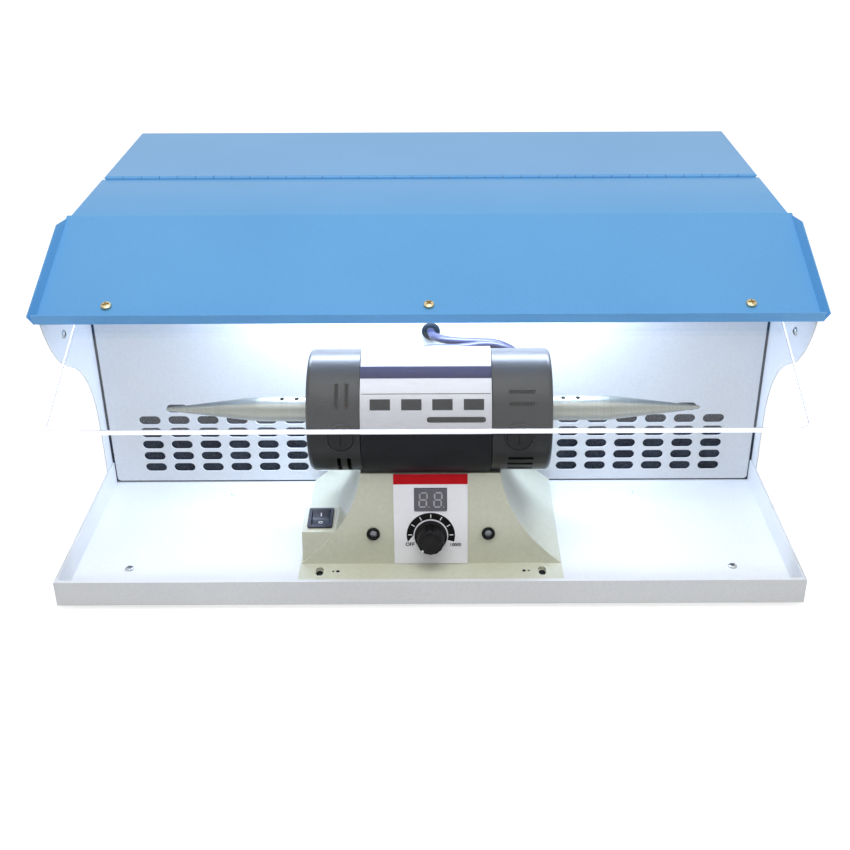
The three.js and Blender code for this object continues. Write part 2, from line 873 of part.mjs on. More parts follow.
// One hinge leaf with every other knuckle; side is -1 for the front leaf and 1 for the rear one
function hingeLeaf(name, side, first) {
  const clear = hingeY + side * (barrelRadius + gap);
  const far = hingeY + side * leafWidth;
  const parts = [block(-floorHalf, floorHalf, clear, far, leafBottom, leafTop)];
  for (let i = first; i < knuckleCount; i += 2) {
    const from = -floorHalf + i * knucklePitch + gap / 2;
    const to = from + knucklePitch - gap;
    parts.push(rod('x', barrelRadius, from, to, hingeY, hingeZ, knuckleSides));
    parts.push(block(from, to, hingeY, clear + side * gap, leafBottom, leafTop));
  }
  const bore = rod('x', pinRadius + gap, -floorHalf - overrun, floorHalf + overrun,
    hingeY, hingeZ, pinSides);
  return piece(name, 'bluePowder', cut(union(parts), [bore]));
}

function hingePin() {
  return piece('hinge_pin', 'steel', rod('x', pinRadius, -floorHalf, floorHalf, hingeY, hingeZ, pinSides));
}

function shieldScrewHole(x) {
  return rod('z', screwRadius + gap, -visorLength, visorLength, x, -(visorLength - shieldScrewInset),
    smallSides, visorFrame.matrix);
}

const shieldScrewPlaces = [['left', -shieldScrewX], ['middle', 0], ['right', shieldScrewX]];

const visorHalf = hoodHalf + visorOverhang;

function hoodFlap() {
  const down = [-Math.cos(visorSlope), -Math.sin(visorSlope)];
  const up = [-Math.sin(visorSlope), Math.cos(visorSlope)];
  const at = (along, above) => [
    foldY + down[0] * along + up[0] * above,
    cabinetHeight + down[1] * along + up[1] * above,
  ];
  const rear = hingeY - panelEdge;
  const profile = [
    [rear, cabinetHeight],
    [foldY, cabinetHeight],
    at(visorLength - sheet, 0),
    at(visorLength - sheet, visorLip),
    at(visorLength, visorLip),
    at(visorLength, -sheet),
    [foldY + sheet * Math.tan(visorSlope / 2), hoodUnder],
    [rear, hoodUnder],
  ];
  const plate = prism('x', polygon(profile), -hoodHalf, hoodHalf);
  const visor = prism('x', polygon(profile.slice(1, -1)), -visorHalf, visorHalf);
  const parts = [plate, visor];
  for (const [, side] of sides) {
    parts.push(visorFlange(side));
  }
  const holes = shieldScrewPlaces.map(([, x]) => shieldScrewHole(x));
  return piece('hood_flap', 'bluePowder', cut(union(parts), holes));
}

// The flange turned up along one side of the visor, flared outwards, its corner cut off near the fold
function visorFlange(side) {
  const outline = polygon([
    [flangeCutStart, -sheet], [flangeCutStart, 0], [flangeCutEnd, visorLip],
    [visorLength, visorLip], [visorLength, -sheet],
  ]);
  const geometry = new THREE.ExtrudeGeometry(outline, { depth: sheet, bevelEnabled: false });
  const along = point(0, -1, 0);
  const rise = point(side * Math.sin(visorFlare), 0, Math.cos(visorFlare));
  const across = along.clone().cross(rise);
  const placed = new THREE.Matrix4().makeBasis(along, rise, across);
  placed.setPosition(side * (visorHalf - sheet / 2) - (across.x * sheet) / 2, 0, 0);
  geometry.applyMatrix4(placed);
  geometry.applyMatrix4(visorFrame.matrix);
  return solid(geometry);
}

const shieldTop = -sheet - gap;
const shieldBottom = shieldTop - shieldThick;

function acrylicShield() {
  const outline = new THREE.Shape();
  outline.moveTo(-shieldHalf, -shieldStart);
  outline.lineTo(-shieldHalf, -shieldEnd + shieldCorner);
  outline.absarc(-shieldHalf + shieldCorner, -shieldEnd + shieldCorner, shieldCorner,
    Math.PI, 3 * quarter, false);
  outline.absarc(shieldHalf - shieldCorner, -shieldEnd + shieldCorner, shieldCorner,
    -quarter, 0, false);
  outline.lineTo(shieldHalf, -shieldStart);
  for (const [, x] of shieldScrewPlaces) {
    outline.holes.push(circle(x, -(visorLength - shieldScrewInset), screwRadius + gap, smallSides));
  }
  const plate = prism('z', outline, shieldBottom, shieldTop);
  return piece('acrylic_shield', 'acrylic', plate);
}

// A pan-head screw along Z with a cross recess, its head resting at the given height
function panScrew(x, y, seat, head, headHeight, shank, length) {
  const profile = [
    [0, seat - length],
    [shank, seat - length],
    [shank, seat],
    [head, seat],
    [head, seat + headHeight / 2],
    [head / Math.SQRT2, seat + headHeight],
    [0, seat + headHeight],
  ];
  const top = seat + headHeight;
  const reach = head / 2;
  return cut(turned('z', profile, [x, y, 0], smallSides), [
    block(x - reach, x + reach, y - screwRecessHalf, y + screwRecessHalf, top - screwRecess, top + overrun),
    block(x - screwRecessHalf, x + screwRecessHalf, y - reach, y + reach, top - screwRecess, top + overrun),
  ]);
}

function shieldFasteners() {
  const y = -(visorLength - shieldScrewInset);
  const parts = [];
  for (const [place, x] of shieldScrewPlaces) {
    const screw = panScrew(x, y, gap, screwHeadRadius, screwHeadHeight, screwRadius, screwLength);
    const nutTop = shieldBottom - gap;
    const nut = cut(rod('z', nutRadius, nutTop - nutHeight, nutTop, x, y, hexSides),
      [rod('z', screwRadius + gap, nutTop - nutHeight - overrun, nutTop + overrun, x, y, smallSides)]);
    parts.push(piece(`shield_screw_${place}`, 'zinc', screw));
    parts.push(piece(`shield_nut_${place}`, 'zinc', nut));
  }
  return parts;
}

// Motor base

// The bell's outline as seen from the front, inset by a wall
function bellOutline(inset, bottom) {
  const top = baseFlatTop - inset;
  const topHalf = baseTopHalf - inset;
  const footHalf = baseFootHalf - inset;
  const pullX = topHalf + flankSideShare * (footHalf - topHalf);
  const pullZ = baseFootTop + flankHeightShare * (top - baseFootTop);
  const outline = new THREE.Shape();
  outline.moveTo(-topHalf, top);
  outline.quadraticCurveTo(-pullX, pullZ, -footHalf, baseFootTop - gap);
  outline.lineTo(-footHalf, bottom);
  outline.lineTo(footHalf, bottom);
  outline.lineTo(footHalf, baseFootTop - gap);
  outline.quadraticCurveTo(pullX, pullZ, topHalf, top);
  return outline;
}

// The base seen from the side, inset by a wall: the front plate leans back, the rear slopes down
function sideOutline(inset, bottom) {
  const rise = baseFlatTop - baseFootTop;
  const frontTopY = basePlateY + rise * Math.tan(baseLean);
  const rearInset = inset / Math.cos(rearSlope);
  return polygon([
    [basePlateY + inset, bottom],
    [basePlateY + inset, baseFootTop],
    [frontTopY + inset, baseFlatTop],
    [baseSaddleRearY - inset, baseFlatTop],
    [baseRearY - inset, baseRearTop - rearInset + inset],
    [baseRearY - inset, bottom],
  ]);
}

function motorCylinder(extra) {
  const half = 2 * baseFootHalf;
  return rod('x', motorRadius + extra, -half, half, motorY, motorZ, largeSides);
}

function bellSolid(inset, bottom) {
  const bell = prism('y', bellOutline(inset, bottom), baseFrontY, baseRearY);
  const side = prism('x', sideOutline(inset, bottom), -baseFootHalf, baseFootHalf);
  return cut(bell.intersect(side), [motorCylinder(inset + gap)]);
}

function switchBoxSolid(inset, bottom) {
  const footY = switchBoxFootY + inset;
  const frontY = switchBoxFrontY + inset;
  const rearY = switchBoxRearY - inset;
  const top = switchBoxTop - inset;
  const rise = (rearY - frontY) * Math.tan(switchSlope);
  const outline = polygon([
    [footY, bottom],
    [rearY, bottom],
    [rearY, top + rise],
    [frontY, top],
    [footY, baseFootTop],
  ]);
  return prism('x', outline, switchBoxOuterX + inset, switchBoxInnerX);
}

const strainNeck = leadDiameter / 2 + reliefNeckWall;

function latheBase() {
  const footPlate = block(-baseFootHalf, baseFootHalf, baseFrontY, baseRearY, baseBottom, baseFootTop);
  const outer = union([bellSolid(0, baseBottom), footPlate, switchBoxSolid(0, baseBottom)]);
  const under = baseBottom - overrun;
  const cavity = union([bellSolid(baseWall, under), switchBoxSolid(baseWall, under)]);
  const tools = [cavity];
  for (const [, side] of sides) {
    const x = side * footSlotX;
    const upper = stadiumAlongY(x, footSlotY, footSlotLength, footSlotWidth);
    const lower = stadiumAlongY(x, footSlotY, footSlotLength - footSlotWidth + footSlotLower, footSlotLower);
    tools.push(prism('z', upper, baseBottom + footSlotStep, baseFootTop + overrun));
    tools.push(prism('z', lower, baseBottom - overrun, baseFootTop));
    tools.push(rod('y', coverScrewShank + gap, -overrun, baseWall + overrun,
      side * coverScrewX, coverScrewUp, smallSides, frontFrame.matrix));
  }
  const displayHalfW = displayWidth / 2 + gap;
  const displayHalfH = displayHeight / 2 + gap;
  tools.push(block(-displayHalfW, displayHalfW, -overrun, 2 * baseWall,
    displayUp - displayHalfH, displayUp + displayHalfH, frontFrame.matrix));
  tools.push(rod('y', potBushRadius + gap, -overrun, 2 * baseWall, 0, dialUp, mediumSides,
    frontFrame.matrix));
  const switchHalfW = switchBodyWidth / 2 + gap;
  const switchHalfL = switchBodyLength / 2 + gap;
  tools.push(block(-switchHalfW, switchHalfW, -switchHalfL, switchHalfL, -2 * baseWall, overrun,
    switchFrame.matrix));
  tools.push(rod('z', strainNeck + gap, -2 * baseWall, overrun, 0, 0, mediumSides, reliefFrame.matrix));
  return piece('lathe_base', 'beigeEnamel', cut(outer, tools));
}

function stadiumAlongY(x, y, length, width) {
  const flat = stadium(0, 0, length, width, slotEndSteps).getPoints();
  return new THREE.Shape(flat.map((p) => new THREE.Vector2(x - p.y, y + p.x)));
}

function baseCover() {
  const half = baseFootHalf - 2 * baseWall;
  const front = basePlateY + 2 * baseWall;
  const rear = baseRearY - 2 * baseWall;
  return piece('base_cover', 'zinc', block(-half, half, front, rear, baseBottom, baseBottom + coverThick));
}

function latheScrew(name, x) {
  const seat = baseBottom + footSlotStep + gap;
  return piece(name, 'zinc', panScrew(x, footSlotY, seat, latheScrewHead, latheScrewHeadHeight,
    latheScrewRadius - gap, latheScrewLength));
}

// Pieces on the front plate, drawn in its frame: the plate's face is y = 0 and -Y faces the user

function controlPlate() {
  const half = controlWidth / 2;
  const outline = rectangle(-half, half, gap, controlHeight);
  const halfW = displayWidth / 2 + gap;
  const halfH = displayHeight / 2 + gap;
  outline.holes.push(rectangle(-halfW, halfW, displayUp - halfH, displayUp + halfH));
  outline.holes.push(circle(0, dialUp, potBushRadius + gap, mediumSides));
  return piece('control_plate', 'plateWhite', prism('y', outline, -gap - controlThick, -gap));
}

const plateFace = -gap - controlThick;
const boardFace = displayDepth + gap;

function speedDisplay() {
  const half = displayWidth / 2;
  const front = plateFace - displayProud;
  return piece('speed_display', 'display', block(-half, half, front, displayDepth,
    displayUp - displayHeight / 2, displayUp + displayHeight / 2));
}

function potentiometer() {
  const front = baseWall / Math.cos(baseLean) + gap;
  const body = union([
    rod('y', potBodyRadius, front, front + potBodyDepth - gap, 0, dialUp, mediumSides),
    rod('y', potBushRadius, plateFace - potBushProud, front + gap, 0, dialUp, mediumSides),
  ]);
  const boreEnd = front + potBodyDepth - gap - potFloor;
  const bore = rod('y', potShaftRadius + gap, plateFace - overrun, boreEnd, 0, dialUp, mediumSides);
  return piece('potentiometer', 'zinc', cut(body, [bore]));
}

const knobBack = plateFace - potBushProud - knobLift;
const knobFront = knobBack - knobHeight;
const knobBoreEnd = knobBack - knobBoreDepth;

function potShaft() {
  const front = knobBoreEnd + gap;
  const rear = baseWall + potBodyDepth / 2;
  return piece('pot_shaft', 'aluminium', rod('y', potShaftRadius, front, rear, 0, dialUp, mediumSides));
}

function speedKnob() {
  const profile = [
    [0, knobFront],
    [knobTopRadius - knobChamfer, knobFront],
    [knobTopRadius, knobFront + knobChamfer],
    [knobRadius, knobBack - knobSkirt],
    [knobSkirtRadius, knobBack - knobSkirt],
    [knobSkirtRadius, knobBack],
    [0, knobBack],
  ];
  const tools = [rod('y', potShaftRadius + gap, knobBoreEnd, knobBack + overrun, 0, dialUp, mediumSides)];
  for (let i = 0; i < knobFlutes; i += 1) {
    const angle = (turn * i) / knobFlutes;
    const x = (knobRadius + knobFluteRadius / 2) * Math.cos(angle);
    const z = dialUp + (knobRadius + knobFluteRadius / 2) * Math.sin(angle);
    tools.push(rod('y', knobFluteRadius, knobFront + 2 * knobFluteRadius, knobBack - knobSkirt,
      x, z, hexSides));
  }
  const body = turned('y', profile, [0, 0, dialUp], knobFlutes * 2);
  return piece('speed_knob', 'glossBlack', cut(body, tools));
}

function controlBoard() {
  const half = boardWidth / 2;
  const board = block(-half, half, boardFace, boardFace + boardThick, boardBottom, boardTop);
  const parts = [board];
  const capacitorRadius = boardThick * 3;
  const chip = boardThick * 5;
  parts.push(rod('y', capacitorRadius, boardFace, boardFace + chip, half / 2, dialUp, smallSides));
  parts.push(rod('y', capacitorRadius, boardFace, boardFace + chip, -half / 2, dialUp, smallSides));
  parts.push(block(-chip / 2, chip / 2, boardFace, boardFace + chip / 2, dialUp - chip, dialUp + chip));
  return piece('control_board', 'board', union(parts));
}

function coverScrews() {
  const parts = [];
  for (const [name, side] of sides) {
    const x = side * coverScrewX;
    const place = [x, 0, coverScrewUp];
    const collar = ring('y', ringHole, ringRadius, -gap - ringHeight, -gap, place, mediumSides);
    parts.push(piece(`screw_ring_${name}`, 'rubber', collar));
    const seat = -gap;
    const profile = [
      [0, coverScrewLength],
      [coverScrewShank, coverScrewLength],
      [coverScrewShank, seat],
      [coverScrewHead, seat],
      [coverScrewHead, seat - coverScrewHeadHeight / 2],
      [coverScrewHead / Math.SQRT2, seat - coverScrewHeadHeight],
      [0, seat - coverScrewHeadHeight],
    ];
    const top = seat - coverScrewHeadHeight;
    const reach = coverScrewHead / 2;
    const slotHalf = screwRecessHalf * (coverScrewHead / screwHeadRadius);
    const deep = top + coverScrewHeadHeight / 2;
    const screw = cut(turned('y', profile, place, smallSides), [
      block(x - reach, x + reach, top - overrun, deep, coverScrewUp - slotHalf, coverScrewUp + slotHalf),
      block(x - slotHalf, x + slotHalf, top - overrun, deep, coverScrewUp - reach, coverScrewUp + reach),
    ]);
    parts.push(piece(`cover_screw_${name}`, 'zinc', screw));
  }
  return parts;
}

// Rocker switch, drawn in its frame: z = 0 is the switch box's top

const rockerPivotZ = gap + bezelHeight - rockerAxle;

function switchBezel() {
  const halfW = bezelWidth / 2;
  const halfL = bezelLength / 2;
  const bodyW = switchBodyWidth / 2;
  const bodyL = switchBodyLength / 2;
  const body = union([
    block(-halfW, halfW, -halfL, halfL, gap, gap + bezelHeight),
    block(-bodyW, bodyW, -bodyL, bodyL, -switchBodyDepth, gap + bezelHeight / 2),
  ]);
  const wellW = rockerWidth / 2 + gap;
  const wellL = rockerLength / 2 + 2 * gap;
  const well = block(-wellW, wellW, -wellL, wellL, -rockerWell, bezelHeight + overrun);
  const axleEnd = wellW + rockerAxle;
  const axle = rod('x', rockerAxle + gap, -axleEnd, axleEnd, 0, rockerPivotZ, smallSides);
  return piece('switch_bezel', 'glossBlack', cut(body, [well, axle]));
}

// The rocker's top is a shallow vee; at rest its front half is pressed down
function switchRocker() {
  const halfL = rockerLength / 2;
  const halfW = rockerWidth / 2;
  const deep = rockerWell / 2;
  const outline = polygon([
    [-halfL, rockerRise],
    [-halfL + rockerRise, -deep],
    [halfL - rockerRise, -deep],
    [halfL, rockerRise],
    [0, -rockerRise / 2],
  ].map(([y, z]) => [y * Math.cos(rockerTilt) - z * Math.sin(rockerTilt),
    y * Math.sin(rockerTilt) + z * Math.cos(rockerTilt) + rockerPivotZ]));
  const parts = [
    prism('x', outline, -halfW, halfW),
    rod('x', rockerAxle, -halfW - rockerAxle, halfW + rockerAxle, 0, rockerPivotZ, smallSides),
  ];
  return piece('switch_rocker', 'glossBlack', union(parts));
}

function strainRelief() {
  const bore = leadDiameter / 2 + gap;
  const profile = [
    [bore, -2 * baseWall],
    [strainNeck, -2 * baseWall],
    [strainNeck, gap],
    [reliefFlange, gap],
    [reliefFlange, gap + reliefFlangeThick],
    [reliefRadius, gap + reliefFlangeThick],
    [reliefTipRadius, reliefLength],
    [bore, reliefLength],
    [bore, -2 * baseWall],
  ];
  return piece('strain_relief', 'rubber', turned('z', profile, [0, 0, 0], mediumSides));
}

// Motor

function motorHousing() {
  const shell = ring('x', motorRadius - motorWall, motorRadius, motorLeft, motorRight,
    [0, motorY, motorZ], largeSides);
  return piece('motor_housing', 'blackPlastic', shell);
}

// A sector of a ring seen from the end; angles run from the top towards the user
function ringSector(inner, outer, from, to, steps) {
  const at = (radius, angle) => [motorY - radius * Math.sin(angle), motorZ + radius * Math.cos(angle)];
  const points = [];
  for (let i = 0; i <= steps; i += 1) {
    points.push(at(outer, from + ((to - from) * i) / steps));
  }
  for (let i = steps; i >= 0; i -= 1) {
    points.push(at(inner, from + ((to - from) * i) / steps));
  }
  return polygon(points);
}

function motorLabel() {
  const inner = motorRadius + gap;
  const outline = ringSector(inner, inner + labelThick, labelTopAngle, labelBottomAngle, 3 * arcSteps);
  return piece('motor_label', 'label', prism('x', outline, motorLeft + gap, motorRight - gap));
}

// The left cap's vents run round it, and the right cap's run along the motor
const roundVentSpans = [[ventUpperStart, ventUpperEnd], [ventLowerStart, ventLowerEnd]];
const roundVentPlaces = [ventOuterPlace, ventInnerPlace];
const bossX = { left: -69.6, right: 70.3 };

function endCap(name, side) {
  const joint = side < 0 ? motorLeft - gap : motorRight + gap;
  const end = side * motorEnd;
  const inside = end - side * capEndWall;
  const seatEnd = inside - side * (bearingWidth + gap);
  const seatInner = bearingOuter + gap;
  const shaftHole = motorShaftRadius + shaftRoom;
  const profile = [
    [capRadius - capWall, joint],
    [capRadius, joint],
    [capRadius, end - side * capRound],
    [capRadius - capRound, end],
    [shaftHole, end],
    [shaftHole, inside],
    [seatInner, inside],
    [seatInner, seatEnd],
    [seatInner + bearingSeatWall, seatEnd],
    [seatInner + bearingSeatWall, inside],
    [capRadius - capWall, inside],
    [capRadius - capWall, joint],
  ];
  const centre = [0, motorY, motorZ];
  let cap = turned('x', profile, centre, largeSides);
  const boss = bossX[name];
  const bossFront = motorY - capRadius - bossRise;
  cap = cap.add(rod('y', bossRadius, bossFront, bossFront + bossDepth, boss, motorZ, mediumSides));
  const tools = [rod('y', brushCapRadius + gap, bossFront - overrun, bossFront + brushCapDepth,
    boss, motorZ, mediumSides)];
  tools.push(...(side < 0 ? ventsRound() : ventsAlong()));
  return piece(`end_cap_${name}`, 'blackPlastic', cut(cap, tools));
}

function ventsRound() {
  const tools = [];
  for (const [from, to] of roundVentSpans) {
    for (const place of roundVentPlaces) {
      const outline = ringSector(capRadius - 2 * capWall, capRadius + overrun, from, to, arcSteps / 2);
      tools.push(prism('x', outline, -place - ventWidth / 2, -place + ventWidth / 2));
    }
  }
  return tools;
}

function ventsAlong() {
  const tools = [];
  const half = ventWidth / 2 / capRadius;
  for (const angle of ventSlotAngles) {
    const outline = ringSector(capRadius - 2 * capWall, capRadius + overrun, angle - half, angle + half, 1);
    tools.push(prism('x', outline, ventSlotFrom, ventSlotTo));
  }
  return tools;
}

function brushCap(name) {
  const bossFront = motorY - capRadius - bossRise;
  const front = bossFront - brushCapProud;
  const boss = bossX[name];
  const body = rod('y', brushCapRadius, front, bossFront + brushCapDepth - gap, boss, motorZ, mediumSides);
  const slotHalf = brushCapRadius / 2;
  const slot = block(boss - slotHalf, boss + slotHalf, front - overrun, front + brushSlotDepth,
    motorZ - screwRecessHalf, motorZ + screwRecessHalf);
  return piece(`brush_cap_${name}`, 'blackPlastic', cut(body, [slot]));
}

function bearing(name, side) {
  const inside = side * (motorEnd - capEndWall);
  const from = inside - side * gap;
  const to = from - side * bearingWidth;
  return piece(`bearing_${name}`, 'steel', ring('x', bearingInner, bearingOuter, from, to,
    [0, motorY, motorZ], mediumSides));
}

function stator() {
  const outer = motorRadius - motorWall - gap;
  return piece('stator', 'iron', ring('x', statorInner, outer, -statorHalf, statorHalf,
    [0, motorY, motorZ], largeSides));
}

function rotor() {
  const commutatorStart = armatureHalf + commutatorLength / 2;
  const commutatorEnd = commutatorStart + commutatorLength;
  const profile = [
    [0, -motorShaftReach],
    [motorShaftRadius, -motorShaftReach],
    [motorShaftRadius, -armatureHalf],
    [armatureRadius, -armatureHalf],
    [armatureRadius, armatureHalf],
    [motorShaftRadius, armatureHalf],
    [motorShaftRadius, commutatorStart],
    [commutatorRadius, commutatorStart],
    [commutatorRadius, commutatorEnd],
    [motorShaftRadius, commutatorEnd],
    [motorShaftRadius, motorShaftReach],
    [0, motorShaftReach],
  ];
  return piece('rotor', 'copper', turned('x', profile, [0, motorY, motorZ], mediumSides));
}

function spindle(name, side) {
  const start = side * (motorEnd + spindleStandoff);
  const bore = motorShaftRadius + gap;
  const boreEnd = side * (motorShaftReach + gap);
  const tip = spindleTips[name];
  const profile = [
    [bore, start],
    [spindleRadius - spindleChamfer, start],
    [spindleRadius, start + side * spindleChamfer],
    [spindleRadius, side * (tip - taperLength)],
    [spindleTipRadius, side * (tip - spindleTipRadius)],
    [0, side * tip],
    [0, boreEnd],
    [bore, boreEnd],
    [bore, start],
  ];
  const top = motorZ + spindleRadius;
  const tools = setScrewPlaces.map((place) => rod(
    'z', setScrewRadius, top - setScrewDepth, top + overrun, side * place, motorY, smallSides,
  ));
  const body = turned('x', profile, [0, motorY, motorZ], mediumSides);
  return piece(`spindle_${name}`, 'steel', cut(body, tools));
}

// Motor lead: a tube along a smooth curve through the route, from the grommet to the strain relief
function motorLead() {
  const reliefExit = point(0, 0, reliefLength + gap).applyMatrix4(reliefFrame.matrix);
  const route = leadRoute.map((place) => point(...place));
  route.push(reliefExit);
  const curve = new THREE.CatmullRomCurve3(route, false, 'centripetal');
  const geometry = new THREE.ExtrudeGeometry(circle(0, 0, leadDiameter / 2, leadSides), {
    steps: leadSteps,
    extrudePath: curve,
    bevelEnabled: false,
  });
  return piece('motor_lead', 'cable', solid(geometry));
}

// Assembly

const machine = new THREE.Group();

machine.add(
  baseTray(),
  ...sides.map(([name, side]) => sidePanel(`side_panel_${name}`, side)),
  perforatedPanel(),
  filterPad(),
  rearPanel(),
  fanShroud(),
  fanMotor(),
  fanImpeller(),
  exhaustGrille(),
  powerInlet(),
  lampHousing(),
  lampDiffuser(),
  panelGrommet(),
);
for (const [name, side] of sides) {
  machine.add(rubberFoot(`rubber_foot_front_${name}`, side * footX, footFrontY));
  machine.add(rubberFoot(`rubber_foot_back_${name}`, side * footX, footBackY));
}

machine.add(
  hoodRearPanel(),
  hingeLeaf('hinge_leaf_fixed', 1, 0),
  hingeLeaf('hinge_leaf_moving', -1, 1),
  hingePin(),
  hoodFlap(),
);
visorFrame.add(acrylicShield(), ...shieldFasteners());
machine.add(visorFrame);

machine.add(
  latheBase(),
  baseCover(),
  ...sides.map(([name, side]) => latheScrew(`lathe_screw_${name}`, side * footSlotX)),
);
frontFrame.add(
  controlPlate(),
  speedDisplay(),
  potentiometer(),
  potShaft(),
  speedKnob(),
  controlBoard(),
  ...coverScrews(),
);
switchFrame.add(switchBezel(), switchRocker());
reliefFrame.add(strainRelief());
machine.add(frontFrame, switchFrame, reliefFrame, motorLead());

machine.add(motorHousing(), motorLabel(), stator(), rotor());
for (const [name, side] of sides) {
  machine.add(endCap(name, side), brushCap(name), bearing(name, side), spindle(name, side));
}

// Stand the machine on the middle of its footprint
machine.updateMatrixWorld(true);
const bounds = new THREE.Box3().setFromObject(machine, true);
const middle = bounds.getCenter(point(0, 0, 0));
machine.position.set(-middle.x, -middle.y, -bounds.min.z);

const model = new THREE.Group();
model.add(machine);

export default model;
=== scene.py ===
"""Bench polishing machine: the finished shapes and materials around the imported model.

Sizes are millimetres in the maker's frame: x from the middle to the right, y from the tray's front
edge to the back, z up from the tray's underside. A piece is drawn in millimetres in the frame of what
carries it, and settle() then puts it on the machine in metres.
"""

import math

import bpy
from mathutils import Matrix, Vector


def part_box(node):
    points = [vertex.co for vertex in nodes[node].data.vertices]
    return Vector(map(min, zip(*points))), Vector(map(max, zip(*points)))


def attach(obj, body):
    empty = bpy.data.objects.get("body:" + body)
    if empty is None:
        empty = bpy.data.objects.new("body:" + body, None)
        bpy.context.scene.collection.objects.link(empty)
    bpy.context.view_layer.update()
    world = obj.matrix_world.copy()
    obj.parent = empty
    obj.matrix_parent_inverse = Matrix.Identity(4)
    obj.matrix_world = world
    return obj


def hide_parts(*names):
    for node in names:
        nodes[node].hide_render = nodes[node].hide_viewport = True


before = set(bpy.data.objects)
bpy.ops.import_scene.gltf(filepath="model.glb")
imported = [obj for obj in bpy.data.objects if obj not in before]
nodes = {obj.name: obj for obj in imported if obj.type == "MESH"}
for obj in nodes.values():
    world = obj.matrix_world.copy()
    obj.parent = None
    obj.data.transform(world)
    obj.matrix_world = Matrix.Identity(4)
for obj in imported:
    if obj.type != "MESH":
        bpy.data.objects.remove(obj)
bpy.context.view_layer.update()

MM = 0.001
ROUND = 96
SMALL_ROUND = 32

# The tray's front edge on its underside is the zero of the maker's frame
tray_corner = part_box("base_tray")[0]
MACHINE = Matrix.Translation((0, tray_corner.y, tray_corner.z))


def tilted(x, y, z, degrees):
    """A frame at a place on the machine, turned about x."""
    place = Matrix.Translation(Vector((x, y, z)) * MM)
    return MACHINE @ place @ Matrix.Rotation(math.radians(degrees), 4, "X")


def upright(x, y, z):
    """A frame whose y runs up the machine and whose z faces the user."""
    return tilted(x, y, z, 90)


# Main sizes
TRAY_WIDTH = 600
SHEET = 1.2
WALL_INSIDE = TRAY_WIDTH / 2 - SHEET
FOLD_Y, HOOD_TOP = 191, 262
HINGE_Y, HINGE_Z = 297, 262
PANEL_FACE, GROMMET_Z = 190, 153.9
PLATE_Y, FOOT_TOP, FOOT_SCREW_Y = 47, 7, 36
MOTOR_Y, MOTOR_Z = 90, 129
HOUSING_RADIUS, CAP_RADIUS = 50.6, 48.8
HOUSING_LEFT, HOUSING_RIGHT, MOTOR_END = -54.2, 48.8, 96.7
GAP = 0.3
FEET = {"front_left": (-253, 49), "back_left": (-253, 410),
        "front_right": (253, 49), "back_right": (253, 410)}
SHIELD_SCREWS = {"left": (-251.5, 0.3), "middle": (0, 0.8), "right": (251.5, 0.1)}
SHIELD_SCREW_UP = -110.8

# Frames of what carries the pieces
VISOR = tilted(0, FOLD_Y, HOOD_TOP, 21)
FRONT_PLATE = tilted(0, PLATE_Y, FOOT_TOP, -10)
SWITCH = tilted(-92.6, 71, 35.95, 5)
RELIEF = tilted(52, 146.3, 58.28, -45.44)
ALONG_X = Matrix.Rotation(math.pi / 2, 4, "Y")
TO_USER = Matrix.Rotation(math.pi / 2, 4, "X")
MOTOR_AXLE = tilted(0, MOTOR_Y, MOTOR_Z, 0) @ ALONG_X
FAN_AXLE = tilted(0, 0, 135, -90)


# Camera

def place_camera():
    """A long lens in front of the machine, above the hood and looking down into the bay."""
    data = bpy.data.cameras.new("camera")
    data.lens = 50.31
    data.shift_x = -0.0266
    camera = bpy.data.objects.new("camera", data)
    bpy.context.scene.collection.objects.link(camera)
    camera.location = (0.01232, -0.986991, 0.584153)
    camera.rotation_euler = [math.radians(a) for a in (61.7012, 0.1580, -0.2136)]
    bpy.context.scene.camera = camera


# Materials

def colour(code):
    """An sRGB hex colour as the linear one that the shaders take."""
    parts = [int(code[i:i + 2], 16) / 255 for i in (1, 3, 5)]
    return [c / 12.92 if c <= 0.04045 else ((c + 0.055) / 1.055) ** 2.4 for c in parts] + [1]


def add_node(material, kind, inputs=None, **fields):
    """Adds a node, sets its fields, and sets or links its inputs."""
    tree = material.node_tree
    node = tree.nodes.new(kind)
    for field, value in fields.items():
        setattr(node, field, value)
    for socket, value in (inputs or {}).items():
        if isinstance(value, bpy.types.NodeSocket):
            tree.links.new(value, node.inputs[socket])
        else:
            node.inputs[socket].default_value = value
    return node


def start_material(name, settings):
    """A material with one Principled shader, and that shader with its sockets set."""
    material = bpy.data.materials.new(name)
    material.use_nodes = True
    shader = material.node_tree.nodes["Principled BSDF"]
    for socket, value in settings.items():
        shader.inputs[socket].default_value = value
    return material, shader


def grained(material, shader, tones, grain, depth, cloud=60, stretch=(1, 1, 1)):
    """Slow drifts between two tones over cloud millimetres, and a fine relief of the given grain."""
    link = material.node_tree.links.new
    where = add_node(material, "ShaderNodeTexCoord").outputs["Object"]
    where = add_node(material, "ShaderNodeMapping", {"Vector": where, "Scale": stretch}).outputs[0]
    drift = add_node(material, "ShaderNodeTexNoise", {"Vector": where, "Scale": 1000 / cloud, "Detail": 3})
    fine = add_node(material, "ShaderNodeTexNoise", {"Vector": where, "Scale": 1000 / grain, "Detail": 2})
    blend = add_node(material, "ShaderNodeMath", {0: drift.outputs[0], 1: fine.outputs[0]})
    level = add_node(material, "ShaderNodeMapRange", {
        "Value": blend.outputs[0], "From Min": 0.75, "From Max": 1.25})
    mix = add_node(material, "ShaderNodeMix", {"Factor": level.outputs[0], 6: tones[0], 7: tones[1]},
                   data_type="RGBA")
    link(mix.outputs[2], shader.inputs["Base Color"])
    bump = add_node(material, "ShaderNodeBump", {
        "Height": fine.outputs[0], "Distance": depth * MM, "Strength": 1})
    link(bump.outputs[0], shader.inputs["Normal"])


